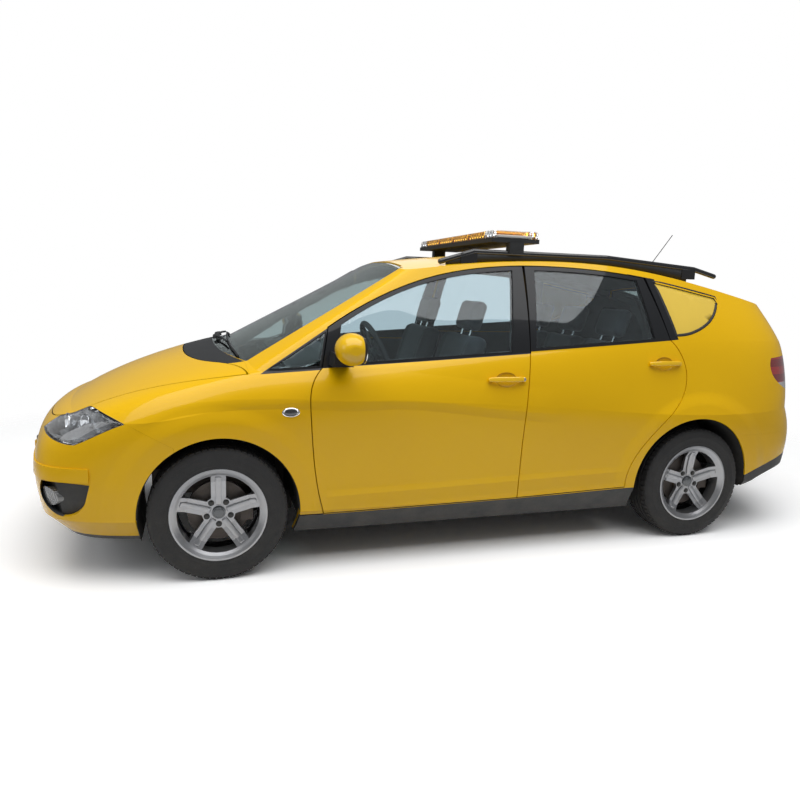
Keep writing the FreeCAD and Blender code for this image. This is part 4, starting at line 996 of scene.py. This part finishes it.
def make_headlamps():
    for name, keep, finish, slot, wall in (
            ("headlamp_lenses", headlamp_outer, lamp_glass, "lamp_clear", 0.003),
            ("headlamp_housings", lambda face: not headlamp_outer(face), dark_lining,
             "black_plastic", 0.002)):
        item = solid(name, copy_faces("headlamps", keep), finish, "body")
        thicken(item, wall, -1)
        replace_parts(item, "headlamps")
    bowls, bulbs = bmesh.new(), bmesh.new()
    for middle, axis, radius, depth in HEADLAMP_BOWLS:
        lathe(bowls, [
            (0.010, -depth), (radius * 0.55, -depth * 0.72), (radius * 0.86, -depth * 0.34),
            (radius, 0), (radius + BOWL_WALL, 0.001), (radius + BOWL_WALL, -BOWL_WALL),
            (radius * 0.9, -depth * 0.36 - BOWL_WALL), (radius * 0.58, -depth * 0.74 - BOWL_WALL),
            (0.010, -depth - BOWL_WALL)], middle, axis, 40, True)
        lathe(bulbs, [(0, -0.004), (0.006, -0.006), (0.008, -0.012), (0.008, -depth), (0, -depth)],
              middle, axis, 20)
    lathe(bowls, [
        (0, -0.016), (0.014, -0.010), (0.019, 0.0), (0.021, 0.0), (0.016, -0.014), (0, -0.020)],
        *INNER_BOWL, 28)
    for bm, name, finish in (
            (bowls, "headlamp_bowls", bright_lining), (bulbs, "headlamp_bulbs", chrome)):
        both_sides(bm)
        solid(name, bm, finish, "body")


def make_repeaters():
    place, normal = side_of("front_fenders", *REPEATER_PLACE)
    for name, finish, steps, closed, profile in (
            ("repeater_rings", chrome, 36, True, [
                (0.0150, 0.0), (0.0165, 0.003), (0.0190, 0.004), (0.0210, 0.0025),
                (0.0215, -0.002), (0.0150, -0.002)]),
            ("repeater_lenses", dark_lining, 32, False, [
                (0, 0.0045), (0.008, 0.004), (0.013, 0.0028), (0.0155, 0.001),
                (0.0155, -0.002), (0, -0.002)])):
        bm = bmesh.new()
        lathe(bm, profile, place, normal, steps, closed, REPEATER_STRETCH)
        both_sides(bm)
        solid(name, bm, finish, "body")


def make_light_bar():
    cells, boards = bmesh.new(), bmesh.new()
    count = int(LIGHT_BAR_LENGTH / CELL_PITCH)
    for step in range(count):
        y = (step - (count - 1) / 2) * CELL_PITCH
        if min(abs(abs(y) - joint) for joint in MODULE_JOINTS) < CELL_MARGIN:
            continue
        for ahead in (1, -1):
            lathe(cells, [
                (0, 0.001), (0.0045, 0.0), (0.0120, 0.0085), (0.0132, 0.0085), (0.0132, -0.003),
                (0, -0.003)], (LIGHT_BAR_X + ahead * CELL_REACH, y, CELL_HEIGHT), (ahead, 0, 0), 12)
    for middles, height, size in BOARDS:
        for y in middles:
            add_box(boards, (LIGHT_BAR_X, y, height), size, 0.003)
    solid("light_bar_cells", cells, bright_lining, "body")
    solid("light_bar_boards", boards, board_white)


# Door handles, mirrors, wipers, plates, roof

HANDLE_HALF = 0.102
HANDLE_SECTION = (0.023, 0.013)
# The handle's feet: place along it, length
HANDLE_FEET = ((-0.086, 0.030), (0.088, 0.024))
LOCK_PROFILE = [(0, 0.0), (0.0075, 0.0), (0.0085, -0.0008), (0.0085, -0.006), (0, -0.006)]

MIRROR_MIDDLE = (0.7445, 0.984, 1.074)
MIRROR_PROFILE = [(0, 0.0020), (0.055, 0.0020), (0.058, 0.0005), (0.058, -0.0020), (0, -0.0020)]
MIRROR_STRETCH = 1.36

# Wipers on the windscreen, as (x, y) seen from above: along the blade, and from the arm's foot
BLADE_SPOTS = ((1.262, 0.600), (1.290, 0.400), (1.300, 0.200), (1.296, 0.010))
ARM_SPOTS = ((1.352, 0.060), (1.325, 0.180), (1.304, 0.320))
FOOT_PROFILE = [(0, 0.012), (0.014, 0.010), (0.018, 0.004), (0.019, -0.012), (0, -0.012)]
# Wiper on the rear glass: (y, z, lift)
REAR_ARM = ((0.02, 1.125, 0.022), (0.10, 1.150, 0.016), (0.24, 1.185, 0.012))
REAR_BLADE = ((0.06, 1.150, 0.006), (0.24, 1.185, 0.006), (0.40, 1.215, 0.006))
REAR_FOOT = [(0, 0.026), (0.012, 0.025), (0.017, 0.018), (0.019, 0.001), (0, 0.001)]

PLATE_SIZE = (0.52, 0.11)
FRONT_PLATE = (2.217, 0, 0.515)
REAR_PLATE_HEIGHT = 0.745
REAR_PLATE_FACING = Vector((-0.985, 0, 0.17))

FLAP_MIDDLE = (-1.60, 0.880)
FLAP_HALF = 0.080
FLAP_STEPS = 48
# The flap's outline: an exponent of 1 is a circle, and less is a square with round corners
FLAP_CORNERS = 0.45
FLAP_GAP_RADIUS = 0.0014

ANTENNA_X = -1.375
ANTENNA_LEAN = Vector((-0.6, 0, 0.8))
SLEEVE_FOOT = 0.020
SLEEVE_LENGTH = 0.125
# The roof rails' line, as (x, y, z)
RAIL_LINE = [Vector(spot) for spot in (
    (0.230, 0.590, 1.500), (0.080, 0.592, 1.546), (-0.300, 0.592, 1.546), (-0.700, 0.592, 1.546),
    (-1.000, 0.586, 1.526), (-1.290, 0.580, 1.505))]
RAIL_STEPS = 6
RAIL_WIDTH = 0.016


def handle_shape():
    """A bowed bar along X with a foot at each end, its outer face towards +Z."""
    bm = bmesh.new()
    add_box(bm, (0, 0, 0), (2 * HANDLE_HALF, *HANDLE_SECTION))
    longways = [e for e in bm.edges if abs(e.verts[0].co.x - e.verts[1].co.x) > 0.1]
    bmesh.ops.subdivide_edges(bm, edges=longways, cuts=11)
    corners = [e for e in bm.edges if len(e.link_faces) == 2 and e.calc_face_angle() > 1.0]
    round_edges(bm, corners, 0.0045, 3, clamp=False)
    for vert in bm.verts:
        share = vert.co.x / HANDLE_HALF
        vert.co.z += 0.026 - 0.011 * share * share - 0.006 * share ** 8
        vert.co.y *= 1.0 + 0.12 * (1 - share * share) - 0.25 * share ** 6
    for middle, length in HANDLE_FEET:
        add_box(bm, (middle, 0, 0.006), (length, 0.019, 0.024), 0.004)
    return bm


def make_handles():
    for side, sign in SIDES:
        for end, x, z in HANDLES:
            node = f"{end}_door_{side}"
            place, normal = side_of(node, x, z, sign)
            fore, _ = side_of(node, x + HANDLE_HALF, z, sign)
            aft, _ = side_of(node, x - HANDLE_HALF, z, sign)
            along = (fore - aft).normalized()
            upward = normal.cross(along).normalized() * sign
            normal = along.cross(upward).normalized()
            if normal.y * sign < 0:
                normal = -normal
            turn = Matrix((along, upward, normal)).transposed().to_4x4()
            bm = handle_shape()
            bmesh.ops.transform(bm, matrix=Matrix.Translation(place) @ turn, verts=bm.verts)
            solid(f"{end}_handle_{side}", bm, handle_paint, node)
            if end == "front":
                bm = bmesh.new()
                lathe(bm, LOCK_PROFILE, place - along * 0.088 + normal * 0.0235, normal, 28)
                solid(f"key_cylinder_{side}", bm, chrome, node)


def make_mirrors():
    x, y, z = MIRROR_MIDDLE
    for side, sign in SIDES:
        bm = bmesh.new()
        middle = Vector((x, y * sign, z))
        lathe(bm, MIRROR_PROFILE, middle, (-1, 0, 0), 48)
        bmesh.ops.scale(bm, vec=(1, MIRROR_STRETCH, 1), verts=bm.verts,
                        space=Matrix.Translation(-middle))
        solid(f"mirror_glass_{side}", bm, mirror_glass, f"front_door_{side}")


def make_wipers():
    for side, sign in SIDES:
        shift = 0.0 if sign > 0 else 0.012
        lines = []
        for part, spots, lift, radius, finish in (
                ("blade", BLADE_SPOTS, 0.012, 0.005, black_plastic),
                ("rubber", BLADE_SPOTS, 0.004, 0.0035, seal_rubber),
                ("arm", ARM_SPOTS, 0.020, 0.006, black_plastic)):
            found = [top_of("windscreen", x - shift, sign * y) for x, y in spots]
            lines.append([place + normal * lift for place, normal in found])
            tube(f"wiper_{part}_{side}", lines[-1], radius, finish)
        bm = bmesh.new()
        lathe(bm, FOOT_PROFILE, lines[-1][0], (0.2, 0, 1), 24)
        solid(f"wiper_foot_{side}", bm, black_plastic)
    for part, spots, radius, finish in (
            ("arm", REAR_ARM, 0.006, gloss_black), ("blade", REAR_BLADE, 0.005, seal_rubber)):
        line = []
        for y, z, lift in spots:
            place, normal = back_of("rear_glass", y, z)
            line.append(place + normal * lift)
        tube(f"rear_wiper_{part}", line, radius, finish, "tailgate")
    bm = bmesh.new()
    lathe(bm, REAR_FOOT, *back_of("rear_glass", *REAR_ARM[0][:2]), 28)
    solid("rear_wiper_foot", bm, black_plastic, "tailgate")


def make_plates():
    """Blank number plates on their holders."""
    rear, _ = back_of("tailgate", 0, REAR_PLATE_HEIGHT)
    for end, place, facing, body in (
            ("front", Vector(FRONT_PLATE), Vector((1, 0, 0)), "body"),
            ("rear", rear + REAR_PLATE_FACING * 0.010, REAR_PLATE_FACING.normalized(),
             "tailgate")):
        across = Vector((0, 1, 0))
        turn = Matrix((across, facing.cross(across).normalized(), facing)).transposed().to_4x4()
        for part, grow, depth, lift, finish, slot in (
                ("plate_holder", 0.012, 0.022, -0.006, black_plastic, "black_plastic"),
                ("plate", 0.0, 0.003, 0.0065, plate_white, "alloy")):
            bm = bmesh.new()
            add_box(bm, (0, 0, lift), (PLATE_SIZE[0] + grow, PLATE_SIZE[1] + grow, depth), 0.0012)
            bmesh.ops.transform(bm, matrix=Matrix.Translation(place) @ turn, verts=bm.verts)
            solid(f"{end}_{part}", bm, finish, body)


def make_fuel_flap():
    """The gap round the flap on the right rear quarter."""
    spots = []
    for step in range(FLAP_STEPS):
        angle = math.tau * step / FLAP_STEPS
        x, z = (middle + FLAP_HALF * math.copysign(abs(c) ** FLAP_CORNERS, c)
                for middle, c in zip(FLAP_MIDDLE, (math.cos(angle), math.sin(angle))))
        spots.append(side_of("body_sides", x, z, -1)[0])
    tube("fuel_flap_gap", spots, FLAP_GAP_RADIUS, seal_rubber, closed=True)


def make_rail_skirts():
    """The closed foot of each roof rail, down to the roof."""
    bm = bmesh.new()
    pairs = []
    for start, end in zip(RAIL_LINE, RAIL_LINE[1:]):
        for step in range(RAIL_STEPS):
            spot = start.lerp(end, step / RAIL_STEPS)
            found = [top_of(node, spot.x, spot.y)[0] for node in ("roof_panel", "body_sides")]
            floor = max(place.z for place in found if place is not None) - 0.004
            if floor < spot.z - 0.002:
                pairs.append((bm.verts.new(spot), bm.verts.new((spot.x, spot.y, floor))))
    for (a, b), (c, d) in zip(pairs, pairs[1:]):
        bm.faces.new((a, b, d, c))
    both_sides(bm)
    thicken(solid("rail_skirts", bm, black_plastic), RAIL_WIDTH, 0)


def make_antenna_sleeve():
    """The thicker foot of the whip."""
    foot, _ = top_of("roof_panel", ANTENNA_X, 0)
    start = foot + Vector((0, 0, SLEEVE_FOOT))
    end = start + ANTENNA_LEAN * SLEEVE_LENGTH
    tube("antenna_sleeve", [start, end], 0.0045, seal_rubber)


# Cabin: padded seats, steering wheel pad, gear lever

PAD_CUTS = 17
# How much a pad's long and short sides pull in between its corners
PAD_PULL = (0.035, 0.03)
PAD_CROWN = 0.006
# The bolsters start at this share of the half width, behind a sewn channel
BOLSTER_START = 0.62
CHANNEL_WIDTH = 0.045
SIDE_CHANNEL_DEPTH = 0.007
CROSS_CHANNEL_DEPTH = 0.006

# Seats by row: x of the cushion's rear edge, width, depth, height of the back, lean in degrees
SEAT_ROWS = {"front": (0.090, 0.500, 0.500, 0.560, 16), "rear": (-0.760, 0.420, 0.480, 0.540, 18)}
# Row, side, y, height of the bolsters
SEATS = (
    ("front", "left", 0.370, 0.020), ("front", "right", -0.370, 0.020),
    ("rear", "left", 0.440, 0.012), ("rear", "middle", 0.0, 0.004),
    ("rear", "right", -0.440, 0.012),
)

STEERING_HUB = Vector((0.520, 0.370, 0.985))
STEERING_AXIS = Vector((math.cos(math.radians(24)), 0, -math.sin(math.radians(24))))
GEAR_FOOT = (0.560, 0, 0.464)
GEAR_AXIS = (-0.12, 0, 1)


def pad(bm, size, corner, bolster, channels):
    """A crowned cushion: u along, v across, w out of the seat; sewn channels cross it."""
    half = Vector(size) / 2
    bmesh.ops.create_cube(bm, size=2.0)
    bmesh.ops.subdivide_edges(bm, edges=list(bm.edges), cuts=PAD_CUTS, use_grid_fill=True)
    for vert in bm.verts:
        u, v, w = vert.co
        point = Vector((u * half.x, v * half.y, w * half.z))
        core = Vector([max(-h + corner, min(h - corner, c)) for c, h in zip(point, half)])
        reach = point - core
        if reach.length > 0:
            point = core + reach.normalized() * corner
        point.y *= 1 - PAD_PULL[0] * (1 - abs(u) ** 2) * abs(v) ** 4
        point.x *= 1 - PAD_PULL[1] * (1 - abs(v) ** 2) * abs(u) ** 4
        if w > 0:
            rise = PAD_CROWN * (1 - u * u) * (1 - v * v)
            if abs(v) > BOLSTER_START:
                share = (abs(v) - BOLSTER_START) / (1 - BOLSTER_START)
                rise += bolster * math.sin(math.pi * min(1, share)) * (1 - u ** 6)
            dip = 0
            if bolster:
                away = (abs(v) - BOLSTER_START) / CHANNEL_WIDTH
                dip = SIDE_CHANNEL_DEPTH * math.exp(-away ** 2)
            for spot in channels:
                if abs(v) < BOLSTER_START:
                    away = (u - spot) / (CHANNEL_WIDTH * 1.1)
                    dip = max(dip, CROSS_CHANNEL_DEPTH * math.exp(-away ** 2))
            point.z += (rise - dip) * w
        vert.co = point
    for face in bm.faces:
        v = face.calc_center_median().y / half.y
        inside = abs(v) < BOLSTER_START and face.normal.z > -0.5
        face.material_index = 1 if bolster and inside else 0
        face.smooth = True


def make_seats():
    for row, side, y, bolster in SEATS:
        name, node = f"{row}_seat_{side}", row + "_seats"
        x, width, depth, height, lean = SEAT_ROWS[row]
        lean = math.radians(lean)
        up = Vector((-math.sin(lean), 0, math.cos(lean)))
        ahead = Vector((math.cos(lean), 0, math.sin(lean)))
        root = Vector((x + 0.020, y, 0.560))
        level = Matrix.Identity(4)
        upright = Matrix((up, Vector((0, -1, 0)), ahead)).transposed().to_4x4()
        for part, middle, size, turn, corner, sides, channels in (
                ("cushion", Vector((x + depth / 2 + 0.012, y, 0.530)),
                 (depth - 0.02, width - 0.012, 0.150), level, 0.055, bolster, (-0.35, 0.25)),
                ("back", root + up * (height / 2 + 0.008) + ahead * 0.054,
                 (height - 0.03, width - 0.03, 0.100), upright, 0.045, bolster, (-0.5, 0.0, 0.5)),
                ("headrest", root + up * (height + 0.098) + ahead * 0.060,
                 (0.165, 0.250, 0.074), upright, 0.034, 0.0, ())):
            bm = bmesh.new()
            pad(bm, size, corner, sides, channels)
            bmesh.ops.transform(bm, matrix=Matrix.Translation(middle) @ turn, verts=bm.verts)
            item = solid(f"{name}_{part}", bm, seat_cloth, "body")
            item.data.materials.append(seat_middle)
            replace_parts(item, node)
        for letter, shift in (("a", -0.06), ("b", 0.06)):
            foot = root + up * (height - 0.04) + ahead * 0.058 + Vector((0, shift, 0))
            tube(f"{name}_post_{letter}", [foot, foot + up * 0.075], 0.006, chrome, "body")
        bm = bmesh.new()
        add_box(bm, (x + depth / 2, y, 0.380), (depth - 0.06, width - 0.06, 0.150), 0.012)
        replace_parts(solid(f"{name}_base", bm, cabin_plastic, "body"), node)


def make_controls():
    bm = bmesh.new()
    lathe(bm, [
        (0, 0.040), (0.035, 0.039), (0.060, 0.034), (0.074, 0.024), (0.078, 0.010), (0.074, 0.0),
        (0, 0.0)], STEERING_HUB - STEERING_AXIS * 0.004, -STEERING_AXIS, 40,
        stretch=(0.86, 1.12, 1))
    solid("steering_pad", bm, cabin_plastic, "steering_wheel")
    bm = bmesh.new()
    add_box(bm, (0.44, 0, 0.385), (0.52, 0.170, 0.160), 0.020, 3)
    lathe(bm, [
        (0.050, 0.0), (0.036, 0.012), (0.026, 0.036), (0.016, 0.056), (0.010, 0.060), (0, 0.060)],
        GEAR_FOOT, GEAR_AXIS, 28)
    lathe(bm, [
        (0.006, 0.05), (0.006, 0.130), (0.018, 0.142), (0.023, 0.162), (0.020, 0.182),
        (0.008, 0.190), (0, 0.191)], GEAR_FOOT, GEAR_AXIS, 28)
    solid("gear_console", bm, cabin_plastic, "body")


for make in (make_wheels, make_glass, make_splash_shields, make_headlamps, make_repeaters,
             make_light_bar, make_handles, make_mirrors, make_wipers, make_plates,
             make_fuel_flap, make_antenna_sleeve, make_rail_skirts, make_seats, make_controls):
    make()
